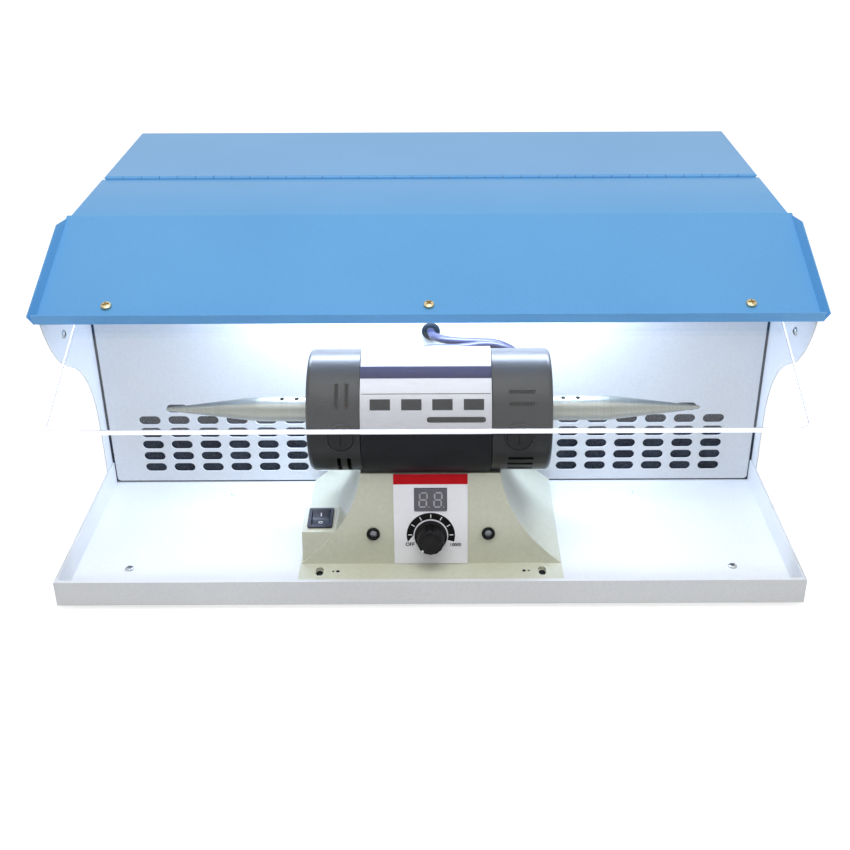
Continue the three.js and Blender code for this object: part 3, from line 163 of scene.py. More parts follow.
def powder_coat(name, dark, light, roughness):
    """Baked powder coat: an even satin skin with a fine orange peel, drawn at 1.6 mm so that it shows."""
    material, shader = start_material(name, {"Roughness": roughness, "IOR": 1.5})
    grained(material, shader, (colour(dark), colour(light)), 1.6, 0.02, 120)
    return material


def beige_enamel():
    """Stoved enamel on a steel pressing: smooth and slightly wavy, with a soft gloss."""
    material, shader = start_material("stoved_enamel", {
        "Roughness": 0.36, "IOR": 1.5, "Coat Weight": 0.25, "Coat Roughness": 0.15})
    grained(material, shader, (colour("#c8c9b5"), colour("#d0d1be")), 3.5, 0.02, 45)
    return material


def moulded_plastic(name, dark, light, roughness, grain=0.9, depth=0.03, gloss=0.5):
    """Moulded ABS or nylon: the fine spark grain of its mould breaks the highlight."""
    material, shader = start_material(name, {
        "Roughness": roughness, "IOR": 1.53, "Specular IOR Level": gloss})
    grained(material, shader, (colour(dark), colour(light)), grain, depth, 30)
    return material


def turned_steel(name, base, roughness):
    """Lathe-turned steel: fine rings round the axle, drawn at 0.9 mm, scatter the light lengthwise."""
    material, shader = start_material(name, {"Metallic": 1, "Roughness": roughness})
    link = material.node_tree.links.new
    where = add_node(material, "ShaderNodeTexCoord").outputs["Object"]
    where = add_node(material, "ShaderNodeMapping", {"Vector": where, "Scale": (1100, 4, 4)}).outputs[0]
    rings = add_node(material, "ShaderNodeTexNoise", {"Vector": where, "Scale": 1, "Detail": 2}).outputs[0]
    tone = add_node(material, "ShaderNodeMix", {"Factor": rings, 6: colour(base), 7: colour("#a4a69f")},
                    data_type="RGBA")
    link(tone.outputs[2], shader.inputs["Base Color"])
    bump = add_node(material, "ShaderNodeBump", {"Height": rings, "Distance": 0.005 * MM, "Strength": 1})
    link(bump.outputs[0], shader.inputs["Normal"])
    return material


def plated_metal(name, dark, light, roughness):
    """Zinc or nickel plating: metal with a cloudy passivated tint."""
    material, shader = start_material(name, {"Metallic": 1, "Roughness": roughness})
    grained(material, shader, (colour(dark), colour(light)), 1.2, 0.01, 4)
    return material


def clear_acrylic():
    """Cast acrylic: clear, its gloss very slightly hazed in patches by wiping."""
    material, shader = start_material("cast_acrylic", {
        "Base Color": colour("#fbfdff"), "Transmission Weight": 1, "IOR": 1.44})
    where = add_node(material, "ShaderNodeTexCoord").outputs["Object"]
    wiped = add_node(material, "ShaderNodeTexNoise", {"Vector": where, "Scale": 25, "Detail": 3})
    haze = add_node(material, "ShaderNodeMapRange", {
        "Value": wiped.outputs[0], "From Min": 0.45, "From Max": 0.75, "To Min": 0, "To Max": 0.02})
    material.node_tree.links.new(haze.outputs[0], shader.inputs["Roughness"])
    return material


def painted_glow_edge():
    """The sheet's sawn edge: frosted by the blade, drawn at 1 mm, and bright with a faint emission of its
    own, which is painted light.
    """
    material, shader = start_material("sawn_edge_painted_glow", {
        "Roughness": 0.5, "IOR": 1.49, "Emission Color": colour("#f4f7ff"), "Emission Strength": 0.5})
    grained(material, shader, (colour("#e9eeff"), colour("#f7faff")), 1, 0.01, 20)
    return material


def lit_opal():
    """Opal diffuser over cold white LEDs: it glows evenly, a little dimmer towards its ends."""
    material, shader = start_material("opal_diffuser", {
        "Base Color": colour("#f4f8ff"), "Roughness": 0.4, "Emission Strength": 5})
    where = add_node(material, "ShaderNodeTexCoord").outputs["Object"]
    along = add_node(material, "ShaderNodeSeparateXYZ", {0: where})
    fade = add_node(material, "ShaderNodeMath", {0: along.outputs[0]}, operation="ABSOLUTE")
    level = add_node(material, "ShaderNodeMapRange", {
        "Value": fade.outputs[0], "From Min": 0.12, "From Max": 0.15, "To Min": 1, "To Max": 0.7})
    mix = add_node(material, "ShaderNodeMix", {
        "Factor": level.outputs[0], 6: colour("#8fa6e8"), 7: colour("#cfdcff")}, data_type="RGBA")
    material.node_tree.links.new(mix.outputs[2], shader.inputs["Emission Color"])
    return material


def filter_fibre():
    """Bonded fibre filter mat: dark, matt and open, its surface a tangle drawn at 2.5 mm."""
    material, shader = start_material("fibre_mat", {"Roughness": 0.95, "Sheen Weight": 0.2})
    grained(material, shader, (colour("#171b26"), colour("#39404d")), 2.5, 0.8, 25)
    return material


def label_foil():
    """Silvered polyester rating plate: a soft metal sheen under a clear lacquer."""
    material, shader = start_material("silvered_foil", {
        "Metallic": 0.15, "Roughness": 0.4, "Coat Weight": 0.2, "Coat Roughness": 0.2})
    grained(material, shader, (colour("#adacb0"), colour("#b9b8bc")), 0.8, 0.008, 40, stretch=(0.1, 1, 1))
    return material


def screen_ink(name, code):
    """Screen-printed ink: dense, slightly glossy, and a touch uneven where the mesh left it."""
    material, shader = start_material(name, {"Roughness": 0.5, "IOR": 1.5, "Specular IOR Level": 0.1})
    tone = colour(code)
    lighter = [min(1, c * 1.12 + 0.004) for c in tone[:3]] + [1]
    grained(material, shader, (tone, lighter), 1.1, 0.01, 9)
    return material


def wound_copper():
    """Enamelled copper wire: close turns along the motor, drawn at 1.2 mm."""
    material, shader = start_material("enamelled_copper", {"Metallic": 1, "Roughness": 0.3})
    where = add_node(material, "ShaderNodeTexCoord").outputs["Object"]
    turns = add_node(material, "ShaderNodeTexWave", {"Vector": where, "Scale": 130, "Distortion": 0.4},
                     bands_direction="X")
    mix = add_node(material, "ShaderNodeMix", {
        "Factor": turns.outputs[1], 6: colour("#2e1509"), 7: colour("#5c3016")}, data_type="RGBA")
    material.node_tree.links.new(mix.outputs[2], shader.inputs["Base Color"])
    return material


def circuit_laminate():
    """Glass-fibre laminate under green solder mask, with the weave just showing."""
    material, shader = start_material("solder_mask", {"Roughness": 0.3, "Coat Weight": 0.4})
    grained(material, shader, (colour("#0c4a26"), colour("#14632f")), 1.5, 0.02, 12)
    return material


def stacked_iron():
    """Stamped laminations stacked along the axle: dark oxide with a fine banding."""
    material, shader = start_material("lamination_steel", {"Metallic": 0.8, "Roughness": 0.55})
    grained(material, shader, (colour("#2b2d30"), colour("#44474b")), 1.0, 0.03, 8, stretch=(1, 0.15, 0.15))
    return material


def make_materials():
    return {
        "white_powder": powder_coat("white_powder_coat", "#d7d8d9", "#e0e1e2", 0.42),
        "blue_powder": powder_coat("blue_powder_coat", "#5fa9e5", "#66b0eb", 0.34),
        "beige_enamel": beige_enamel(),
        "motor_enamel": moulded_plastic("black_motor_enamel", "#141619", "#1b1d21", 0.5, 1.6, 0.015, 0.1),
        "cap_plastic": moulded_plastic("charcoal_nylon", "#101214", "#16181b", 0.33, depth=0.012, gloss=0.25),
        "black_plastic": moulded_plastic("black_abs", "#08090a", "#0f1012", 0.5, gloss=0.25),
        "gloss_black": moulded_plastic("gloss_black_abs", "#050506", "#0a0a0c", 0.34, 2.5, 0.006, 0.2),
        "switch_plastic": moulded_plastic("switch_nylon", "#232533", "#2b2d3c", 0.4, 1.5, 0.01, 0.4),
        "rubber": moulded_plastic("black_rubber", "#08090a", "#101113", 0.62, 0.7, 0.04, 0.2),
        "cable_jacket": moulded_plastic("cable_jacket_pvc", "#1d1f3c", "#282b4c", 0.36, 1.4, 0.015),
        "bright_steel": turned_steel("turned_steel", "#878980", 0.44),
        "zinc_steel": plated_metal("zinc_plate", "#a9acae", "#c6c8c8", 0.3),
        "nickel_screw": plated_metal("nickel_plate", "#77797d", "#9b9da2", 0.42),
        "black_screw": plated_metal("black_oxide", "#202324", "#313536", 0.5),
        "brass_tint": plated_metal("yellow_zinc_plate", "#b9a67c", "#e0d3ae", 0.25),
        "lamp_aluminium": plated_metal("extruded_aluminium", "#b4b8bc", "#cfd2d5", 0.35),
        "lamp_opal": lit_opal(),
        "clear_acrylic": clear_acrylic(),
        "painted_glow_edge": painted_glow_edge(),
        "filter_foam": filter_fibre(),
        "printed_plate": moulded_plastic("white_polycarbonate", "#f2f2f7", "#f7f7fb", 0.35, 1.8, 0.01),
        "printed_label": label_foil(),
        "display_face": moulded_plastic("smoked_window", "#4b4954", "#53515b", 0.18, 3, 0.004),
        "circuit_board": circuit_laminate(),
        "motor_iron": stacked_iron(),
        "winding_copper": wound_copper(),
        "red_ink": screen_ink("red_ink", "#c20d1a"),
        "navy_ink": screen_ink("navy_ink", "#0a0c3c"),
        "black_ink": screen_ink("black_ink", "#08090a"),
        "grey_ink": screen_ink("grey_ink", "#0b0c10"),
        "white_ink": screen_ink("white_ink", "#eceef0"),
        "segment_grey": screen_ink("unlit_segment", "#a5a5a8"),
    }


# Modelling by operators

def only(*pieces):
    """Selects these objects alone; the first is the active one."""
    bpy.ops.object.select_all(action="DESELECT")
    for piece in pieces:
        piece.select_set(True)
    bpy.context.view_layer.objects.active = pieces[0]


def modified(piece, kind, **settings):
    """Adds a modifier and applies it."""
    only(piece)
    modifier = piece.modifiers.new(kind.lower(), kind)
    for name, value in settings.items():
        setattr(modifier, name, value)
    bpy.ops.object.modifier_apply(modifier=modifier.name)
    return piece


def rounded(piece, width, segments=2, angle=35):
    """Rounds the edges that turn by more than the angle, and keeps the flat faces flat in the light."""
    modified(piece, "BEVEL", width=width, segments=segments, limit_method="ANGLE",
             angle_limit=math.radians(angle))
    shaded(piece, 50)
    return modified(piece, "WEIGHTED_NORMAL", keep_sharp=True, weight=80)


def shaded(piece, angle=35):
    only(piece)
    bpy.ops.object.shade_smooth_by_angle(angle=math.radians(angle))
    return piece


def block(name, x, y, z):
    """A box between pairs of x, y and z."""
    ranges = (x, y, z)
    bpy.ops.object.select_all(action="DESELECT")
    bpy.ops.mesh.primitive_cube_add(
        size=1, location=[(a + b) / 2 for a, b in ranges], scale=[abs(b - a) for a, b in ranges])
    bpy.context.object.name = name
    bpy.ops.object.transform_apply()
    return bpy.context.object


def prism(name, outline, low, high):
    """A flat outline of (x, y) points, filled and drawn from low to high along z."""
    bpy.ops.object.select_all(action="DESELECT")
    bpy.ops.mesh.primitive_circle_add(vertices=len(outline), fill_type="NGON")
    piece = bpy.context.object
    piece.name = name
    for vertex, (x, y) in zip(piece.data.vertices, outline):
        vertex.co = (x, y, low)
    bpy.ops.object.mode_set(mode="EDIT")
    bpy.ops.mesh.select_all(action="SELECT")
    bpy.ops.mesh.extrude_region_move(TRANSFORM_OT_translate={"value": (0, 0, high - low)})
    bpy.ops.mesh.select_all(action="SELECT")
    bpy.ops.mesh.normals_make_consistent(inside=False)
    bpy.ops.object.mode_set(mode="OBJECT")
    return piece


def turned(name, profile, sides=ROUND):
    """A turned piece about z: a circle drawn out through rings of (radius, height).

    A profile that comes back to its first ring makes a closed hollow ring, and any other is
    filled at both ends.
    """
    bpy.ops.object.select_all(action="DESELECT")
    radius, height = profile[0]
    bpy.ops.mesh.primitive_circle_add(vertices=sides, radius=radius, location=(0, 0, height))
    piece = bpy.context.object
    piece.name = name
    bpy.ops.object.transform_apply()
    bpy.ops.object.mode_set(mode="EDIT")
    bpy.ops.mesh.select_all(action="SELECT")
    for next_radius, next_height in profile[1:]:
        bpy.ops.mesh.extrude_edges_move(TRANSFORM_OT_translate={"value": (0, 0, next_height - height)})
        share = next_radius / radius
        bpy.ops.transform.resize(value=(share, share, 1), center_override=(0, 0, 0))
        radius, height = next_radius, next_height
    bpy.ops.mesh.select_all(action="SELECT")
    bpy.ops.mesh.remove_doubles(threshold=0.0005)
    bpy.ops.mesh.fill_holes(sides=0)
    bpy.ops.mesh.select_all(action="SELECT")
    bpy.ops.mesh.normals_make_consistent(inside=False)
    bpy.ops.object.mode_set(mode="OBJECT")
    return piece


def copied(piece, name, move=(0, 0, 0), turn=0):
    """A copy with its own mesh, moved and turned about z in the frame it was drawn in."""
    only(piece)
    bpy.ops.object.duplicate()
    double = bpy.context.object
    double.name = name
    return placed(double, Matrix.Translation(move) @ Matrix.Rotation(turn, 4, "Z"))


def joined(pieces, name):
    only(*pieces)
    if len(pieces) > 1:
        bpy.ops.object.join()
    bpy.context.object.name = name
    return bpy.context.object


def carved(piece, cutters, operation="DIFFERENCE", crossing=False):
    """Cuts other pieces, which may cross each other, out of a piece, or adds them, and uses them up."""
    cutter = joined(cutters, "cutter")
    modified(piece, "BOOLEAN", operation=operation, object=cutter, solver="EXACT", use_self=crossing)
    bpy.data.objects.remove(cutter)


def placed(piece, where):
    """Moves a piece and puts its place into its mesh."""
    only(piece)
    piece.matrix_world = where @ piece.matrix_world
    bpy.ops.object.transform_apply()
    return piece


def settle(piece, where=MACHINE):
    """Brings a piece drawn in millimetres to its place on the machine, in metres."""
    return placed(piece, where @ Matrix.Scale(MM, 4))


def softened(node, name, width):
    """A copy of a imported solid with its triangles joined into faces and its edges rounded."""
    piece = bpy.data.objects.new(name, nodes[node].data.copy())
    bpy.context.scene.collection.objects.link(piece)
    only(piece)
    bpy.ops.object.mode_set(mode="EDIT")
    bpy.ops.mesh.select_all(action="SELECT")
    bpy.ops.mesh.remove_doubles(threshold=0.000004)
    bpy.ops.mesh.dissolve_limited(angle_limit=math.radians(0.6))
    bpy.ops.object.mode_set(mode="OBJECT")
    return rounded(piece, width * MM)


def finish(piece, body, slot, *replaced, look=None):
    """Gives a piece the slot's material, or the look's where one is given, puts it on its body, and hides the
    solids it replaces.
    """
    piece.data.materials.clear()
    piece.data.materials.append(materials[look or slot])
    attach(piece, body)
    if replaced:
        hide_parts(*replaced)


def arc(radius, start, end, steps, centre=(0, 0)):
    """Points on an arc, angles in degrees from +x towards +y."""
    angles = [math.radians(start + (end - start) * i / steps) for i in range(steps + 1)]
    return [(centre[0] + radius * math.cos(a), centre[1] + radius * math.sin(a)) for a in angles]


def round_rectangle(half_x, half_y, radius, steps=6, centre=(0, 0)):
    """The outline of a rectangle with round corners."""
    x, y = centre
    points = []
    for sx, sy, start in ((1, 1, 0), (-1, 1, 90), (-1, -1, 180), (1, -1, 270)):
        corner = (x + sx * (half_x - radius), y + sy * (half_y - radius))
        points += arc(radius, start, start + 90, steps, corner)
    return points


# The motor lead: from the grommet in the panel, round behind the motor, to the strain relief

LEAD_DIAMETER = 7
LEAD_ROUTE = [
    (0, 187.2, 153.9), (2.1, 176.8, 155.2), (8.2, 167.7, 156.5), (17.3, 161.6, 157.3), (28, 159.5, 157.2),
    (44, 161, 156), (56, 164, 153.5), (66, 168, 148), (75, 172.5, 139), (81, 176.5, 127), (83, 180, 114),
    (80, 182, 101), (72, 182.5, 89.5), (60, 182, 80), (46, 181, 74), (29, 179, 71), (11, 177, 73),
    (-5, 174, 81.5), (-16, 169.5, 95), (-22, 164, 111), (-23, 158, 128), (-20.9, 154.8, 138.7),
    (-14.8, 152, 147.8), (-5.7, 150, 153.9), (5, 149, 156), (18, 148.6, 156), (32, 149, 157),
    (45, 149.5, 158.5), (57, 150.5, 157), (69, 152.5, 150.5), (77.5, 156.5, 140.5), (81.6, 162.3, 128.2),
    (78.9, 165.9, 116.2), (71.2, 171, 107.1), (63.7, 173.8, 100.4), (57.5, 173.4, 92), (53.4, 169.7, 83.2),
    (52, 163.6, 75.3),
]


def motor_lead():
    """The lead as one smooth curve with a round section."""
    data = bpy.data.curves.new("motor_lead_curve", "CURVE")
    data.dimensions = "3D"
    data.bevel_depth = LEAD_DIAMETER / 2 * MM
    data.bevel_resolution = 6
    data.resolution_u = 8
    data.use_fill_caps = True
    spline = data.splines.new("BEZIER")
    spline.bezier_points.add(len(LEAD_ROUTE) - 1)
    for knot, place in zip(spline.bezier_points, LEAD_ROUTE):
        knot.co = MACHINE @ (Vector(place) * MM)
        knot.handle_left_type = knot.handle_right_type = "AUTO"
    lead = bpy.data.objects.new("motor_lead_cable", data)
    bpy.context.scene.collection.objects.link(lead)
    finish(lead, "cabinet", "cable_jacket", "motor_lead")


def panel_grommet():
    """Rubber grommet where the lead comes through the panel: two flanges with round lips."""
    front = [(3.8, 2.4), *reversed(arc(1.6, 0, 90, 4, (6.4, 0.8))), (8, 0)]
    back = [(6, 0), (6, -1.8), (8, -1.8), (7.8, -3), (6.2, -4.2), (3.8, -4.2)]
    piece = turned("grommet_ring", front + back + [front[0]], 48)
    settle(shaded(piece, 40), upright(0, PANEL_FACE - GAP, GROMMET_Z))
    finish(piece, "cabinet", "rubber", "panel_grommet")


def strain_relief():
    """Moulded sleeve where the lead enters the base: a flange, then a taper cut into bending rings."""
    profile = [(3.8, -6), (4.4, -6), (4.4, 0.3), (8.6, 0.3), (9, 0.7), (9, 1.9), (8.6, 2.3), (6.6, 2.3)]
    rings = 6
    for i in range(rings):
        z = 3.6 + i * 3.4
        radius = 6.5 - (z / 24) * 1.9
        profile += [(radius, z), (radius - 1, z + 0.3), (radius - 1, z + 1.1), (radius - 0.1, z + 1.4)]
    profile += [(4.7, 23.4), (4.4, 24), (3.8, 24), (3.8, -6)]
    piece = turned("strain_relief_sleeve", profile, 40)
    settle(shaded(piece, 40), RELIEF)
    finish(piece, "cabinet", "rubber", "strain_relief")


# Cabinet

# Node, piece, edge radius, body and finish
SOFTENED = (
    ("base_tray", "base_tray_sheet", 0.45, "cabinet", "white_powder"),
    ("side_panel_left", "side_panel_left_sheet", 0.35, "cabinet", "white_powder"),
    ("side_panel_right", "side_panel_right_sheet", 0.35, "cabinet", "white_powder"),
    ("rear_panel", "rear_panel_sheet", 0.3, "cabinet", "white_powder"),
    ("hood_rear_panel", "hood_rear_sheet", 0.45, "cabinet", "blue_powder"),
    ("hood_flap", "hood_flap_sheet", 0.4, "hood", "blue_powder"),
    ("fan_shroud", "fan_shroud_pressing", 0.3, "cabinet", "zinc_steel"),
    ("base_cover", "base_cover_plate", 0.3, "cabinet", "zinc_steel"),
    ("lamp_housing", "lamp_channel", 0.3, "cabinet", "lamp_aluminium"),
    ("lamp_diffuser", "lamp_lens", 0.8, "cabinet", "lamp_opal"),
    ("fan_impeller", "fan_wheel", 0.5, "fan", "black_plastic"),
    ("power_inlet", "inlet_moulding", 0.5, "cabinet", "black_plastic"),
    ("lathe_base", "base_pressing", 0.8, "cabinet", "beige_enamel"),
)


def softened_pieces():
    """Folds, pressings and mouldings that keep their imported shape, with the small radius of their edges."""
    for node, name, radius, body, material in SOFTENED:
        finish(softened(node, name, radius), body, material, node)


SLOT_FIRST_X, SLOT_FIRST_Z = 72.2, 17.5
SLOT_PITCH_X, SLOT_PITCH_Z = 26.6, 12
SLOT_LENGTH, SLOT_HEIGHT = 19.5, 8.5


def perforated_panel():
    """The bay's back wall: a sheet with two fields of round-ended slots, folded back along its top."""
    half, bottom, top, corner = 296.3, 2.9, 258.2, 3.5
    outline = [(half, top), (-half, top)]
    outline += arc(corner, 180, 270, 8, (-half + corner, bottom + corner))
    outline += arc(corner, 270, 360, 8, (half - corner, bottom + corner))
    panel = prism("perforated_sheet", outline, -SHEET, 0)
    reach = (SLOT_LENGTH - SLOT_HEIGHT) / 2
    ends = arc(SLOT_HEIGHT / 2, -90, 90, 10, (reach, 0)) + arc(SLOT_HEIGHT / 2, 90, 270, 10, (-reach, 0))
    punch = prism("punch", ends, -3, 2)
    punches = []
    for row in range(6):
        for column in range(7 if row == 5 else 8):
            for side in (-1, 1):
                x = side * (SLOT_FIRST_X + column * SLOT_PITCH_X)
                punches.append(copied(punch, "punch", (x, SLOT_FIRST_Z + row * SLOT_PITCH_Z, 0)))
    bpy.data.objects.remove(punch)
    punches.append(prism("punch", arc(6.3, 0, 345, 23, (0, GROMMET_Z)), -3, 2))
    carved(panel, punches)
    rounded(panel, 0.25, angle=60)
    flange = rounded(block("flange", (-half, half), (top - SHEET, top), (-26, -0.6)), 0.3)
    panel = joined([panel, flange], "perforated_sheet")
    settle(panel, upright(0, PANEL_FACE, 0))
    finish(panel, "cabinet", "white_powder", "perforated_panel")


def painted_shade_strips():
    """Dark strips behind the gaps along the slotted wall's two ends and its foot: painted shade that keeps
    the gaps dark.
    """
    for name, x, y, z in (("left", (-298.7, -296.4), (190.6, 196), (1.6, 258)),
                          ("right", (296.4, 298.7), (190.6, 196), (1.6, 258)),
                          ("foot", (-296.3, 296.3), (191.3, 192), (1.3, 8))):
        strip = rounded(block(f"painted_shade_strip_{name}", x, y, z), 0.2)
        # Painted shade: the strips take the fibre mat's dark finish
        finish(settle(strip), "cabinet", "filter_foam")


def filter_pad():
    """The fibre mat behind the slots: its faces swell and dip a little between the strands."""
    pad = block("filter_mat", (-288.2, 288.2), (192.2, 206), (2.2, 99.4))
    only(pad)
    bpy.ops.object.mode_set(mode="EDIT")
    bpy.ops.mesh.select_all(action="SELECT")
    bpy.ops.mesh.subdivide(number_cuts=60)
    bpy.ops.object.mode_set(mode="OBJECT")
    tangle = bpy.data.textures.new("mat_tangle", "CLOUDS")
    tangle.noise_scale = 7
    modified(pad, "DISPLACE", texture=tangle, strength=0.9, mid_level=0.5)
    settle(shaded(pad, 60))
    finish(pad, "cabinet", "filter_foam", "filter_pad")


def rubber_feet():
    """Four rubber feet with a rolled lower edge, stuck under the tray."""
    profile = [(3, -4.2), (3.4, -4.4), (3.6, -5), (8.2, -5), (8.8, -4.8), (9, -4.3), (7.6, -0.4), (7.2, -0.3)]
    foot = shaded(turned("foot", profile, 40), 40)
    for corner, (x, y) in FEET.items():
        piece = settle(copied(foot, f"foot_{corner}", (x, y, 0)))
        finish(piece, "cabinet", "rubber", f"rubber_foot_{corner}")
    bpy.data.objects.remove(foot)


def small_screws():
    """Pan-head screws over the feet, and one high on the inside of each side wall."""
    screw = pan_screw(3.6, 1.9, 1.6, 1.1)
    for side, sign in (("left", -1), ("right", 1)):
        inward = tilted(sign * WALL_INSIDE, 117, 186, 0) @ Matrix.Rotation(-sign * math.pi / 2, 4, "Y")
        piece = settle(copied(screw, f"wall_screw_{side}", turn=0.6), inward)
        finish(piece, "cabinet", "zinc_steel")
    for corner, (x, y) in FEET.items():
        piece = settle(copied(screw, f"foot_screw_{corner}", (x, y, SHEET), 0.6))
        finish(piece, "cabinet", "zinc_steel")
    bpy.data.objects.remove(screw)


def fan_fittings():
    """The fan's motor and its grille at the back of the cabinet."""
    can = [(4.3, 405.8), (4.3, 385.5), (2, 385.5), (2, 361), (30.5, 361), (32, 362.5), (32, 370),
           (31.4, 370.6), (31.4, 396), (32, 396.6), (32, 404.5), (30.7, 405.8), (4.3, 405.8)]
    motor = settle(shaded(turned("fan_motor_can", can, 64), 30), FAN_AXLE)
    finish(motor, "cabinet", "motor_iron", "fan_motor")
    bars = []
    for radius, width in ((94, 8), (64, 4), (34, 4)):
        inner = radius - width
        bars.append(turned("ring", [(inner, 458.7), (inner, 459), (radius - 0.4, 459), (radius, 458.6),
                                    (radius, 457.8), (inner, 457.8), (inner, 458.7)]))
    for i in range(4):
        bar = block("bar", (-2, 2), (-90, 90), (457.8, 458.9))
        bars.append(copied(bar, "bar", turn=math.radians(45 * (i + 0.5))))
        bpy.data.objects.remove(bar)
    grille = settle(shaded(joined(bars, "grille_moulding"), 35), FAN_AXLE)
    finish(grille, "cabinet", "black_plastic", "exhaust_grille")


# Hood

def hinge():
    """The piano hinge: two leaves with turned knuckles in turn, on a steel pin."""
    half, count = 298.5, 36
    pitch = 2 * half / count
    knuckle = turned("knuckle", [(1.4, 0.15), (2.2, 0.15), (2.5, 0.45), (2.5, pitch - 0.45),
                                 (2.2, pitch - 0.15), (1.4, pitch - 0.15), (1.4, 0.15)], 24)
    for name, side, first, body in (("fixed", 1, 0, "cabinet"), ("moving", -1, 1, "hood")):
        leaf_range = sorted((HINGE_Y + side * 2.8, HINGE_Y + side * 20))
        parts = [rounded(block("leaf", (-half, half), leaf_range, (259.5, 260.5)), 0.2)]
        for i in range(first, count, 2):
            x = -half + i * pitch
            ring = placed(copied(knuckle, "knuckle"), Matrix.Translation((x, HINGE_Y, HINGE_Z)) @ ALONG_X)
            tongue_y = sorted((HINGE_Y + side * 1.6, HINGE_Y + side * 3.2))
            parts += [ring, block("tongue", (x + 0.15, x + pitch - 0.15), tongue_y, (259.5, 260.5))]
        leaf = settle(shaded(joined(parts, f"hinge_leaf_{name}_plate"), 30))
        finish(leaf, body, "blue_powder", f"hinge_leaf_{name}")
    bpy.data.objects.remove(knuckle)


def acrylic_shield():
    """The clear shield: a flat sheet with a sawn edge and rounded front corners."""
    half, start, end, corner = 273.4, -84, -236.5, 8
    outline = [(half, start), (-half, start)]
    outline += arc(corner, 180, 270, 8, (-half + corner, end + corner))
    outline += arc(corner, 270, 360, 8, (half - corner, end + corner))
    sheet = prism("shield_sheet", outline, -6.5, -1.5)
    carved(sheet, [prism("drill", arc(2.3, 0, 345, 23, (x, SHIELD_SCREW_UP)), -9, 1)
                   for x, _ in SHIELD_SCREWS.values()])
    rounded(sheet, 0.5, 3, 50)
    settle(sheet, VISOR)
    finish(sheet, "hood", "clear_acrylic", "acrylic_shield")
    # It lets the light of the lamps through
    sheet.visible_shadow = False
    skin = 0.25
    inner, outer = [arc(radius, 180, 270, 8, (-half + corner, end + corner))
                    + arc(radius, 270, 360, 8, (half - corner, end + corner))
                    for radius in (corner, corner + skin)]
    ribbon = [(-half, start - 14), *inner, (half, start - 14), (half + skin, start - 14), *reversed(outer),
              (-half - skin, start - 14)]
    edge = prism("shield_sawn_edge", ribbon, -6.3, -1.7)
    # The sawn edge glows faintly with painted light
    finish(settle(edge, VISOR), "hood", "clear_acrylic", look="painted_glow_edge")


def pan_screw(head, height, shank, length):
    """A pan-head screw standing on z = 0, with a cross recess."""
    profile = [(shank * 0.6, -length), (shank, -length + 1), (shank, 0), (head, 0), (head, height * 0.3),
               (head * 0.93, height * 0.62), (head * 0.72, height * 0.88), (head * 0.4, height * 0.99),
               (head * 0.1, height)]
    screw = turned("screw", profile, SMALL_ROUND)
    reach, half, deep = head * 0.6, head * 0.17, height * 0.3
    carved(screw, [block("slot", (-reach, reach), (-half, half), (deep, height + 1)),
                   block("slot", (-half, half), (-reach, reach), (deep, height + 1))], crossing=True)
    return shaded(screw, 30)


def shield_fasteners():
    screw = pan_screw(4.3, 2.6, 2, 18)
    nut = prism("nut", arc(4, 0, 300, 5), -10, -6.8)
    carved(nut, [prism("bore", arc(2.3, 0, 345, 23), -12, -5)])
    rounded(nut, 0.3)
    for place, (x, turn) in SHIELD_SCREWS.items():
        head = settle(copied(screw, f"shield_screw_{place}_m4", (x, SHIELD_SCREW_UP, GAP), turn), VISOR)
        finish(head, "hood", "zinc_steel", f"shield_screw_{place}", look="brass_tint")
        under = settle(copied(nut, f"shield_nut_{place}_m4", (x, SHIELD_SCREW_UP, 0)), VISOR)
        finish(under, "hood", "zinc_steel", f"shield_nut_{place}")
    bpy.data.objects.remove(screw)
    bpy.data.objects.remove(nut)


# Motor base

def base_fasteners():
    """The two screws that hold the base on the tray, and the printed marks beside them."""
    screw = pan_screw(2.9, 2.2, 1.7, 7)
    for side, sign in (("left", -1), ("right", 1)):
        dots = [prism("dot", arc(radius, 0, 330, 11, (sign * x, FOOT_SCREW_Y)),
                      FOOT_TOP - 0.1, FOOT_TOP + 0.02) for radius, x in ((1, 80.8), (1.6, 77))]
        finish(settle(joined(dots, f"foot_mark_{side}")), "cabinet", "beige_enamel", look="grey_ink")
        piece = settle(copied(screw, f"base_screw_{side}", (sign * 92, FOOT_SCREW_Y, 4.3), 0.4))
        finish(piece, "cabinet", "zinc_steel", f"lathe_screw_{side}", look="black_screw")
    bpy.data.objects.remove(screw)


DISPLAY_UP, DIAL_UP = 57.6, 26


def print_frame():
    """The front plate's frame with y up the plate and z towards the user."""
    return FRONT_PLATE @ TO_USER


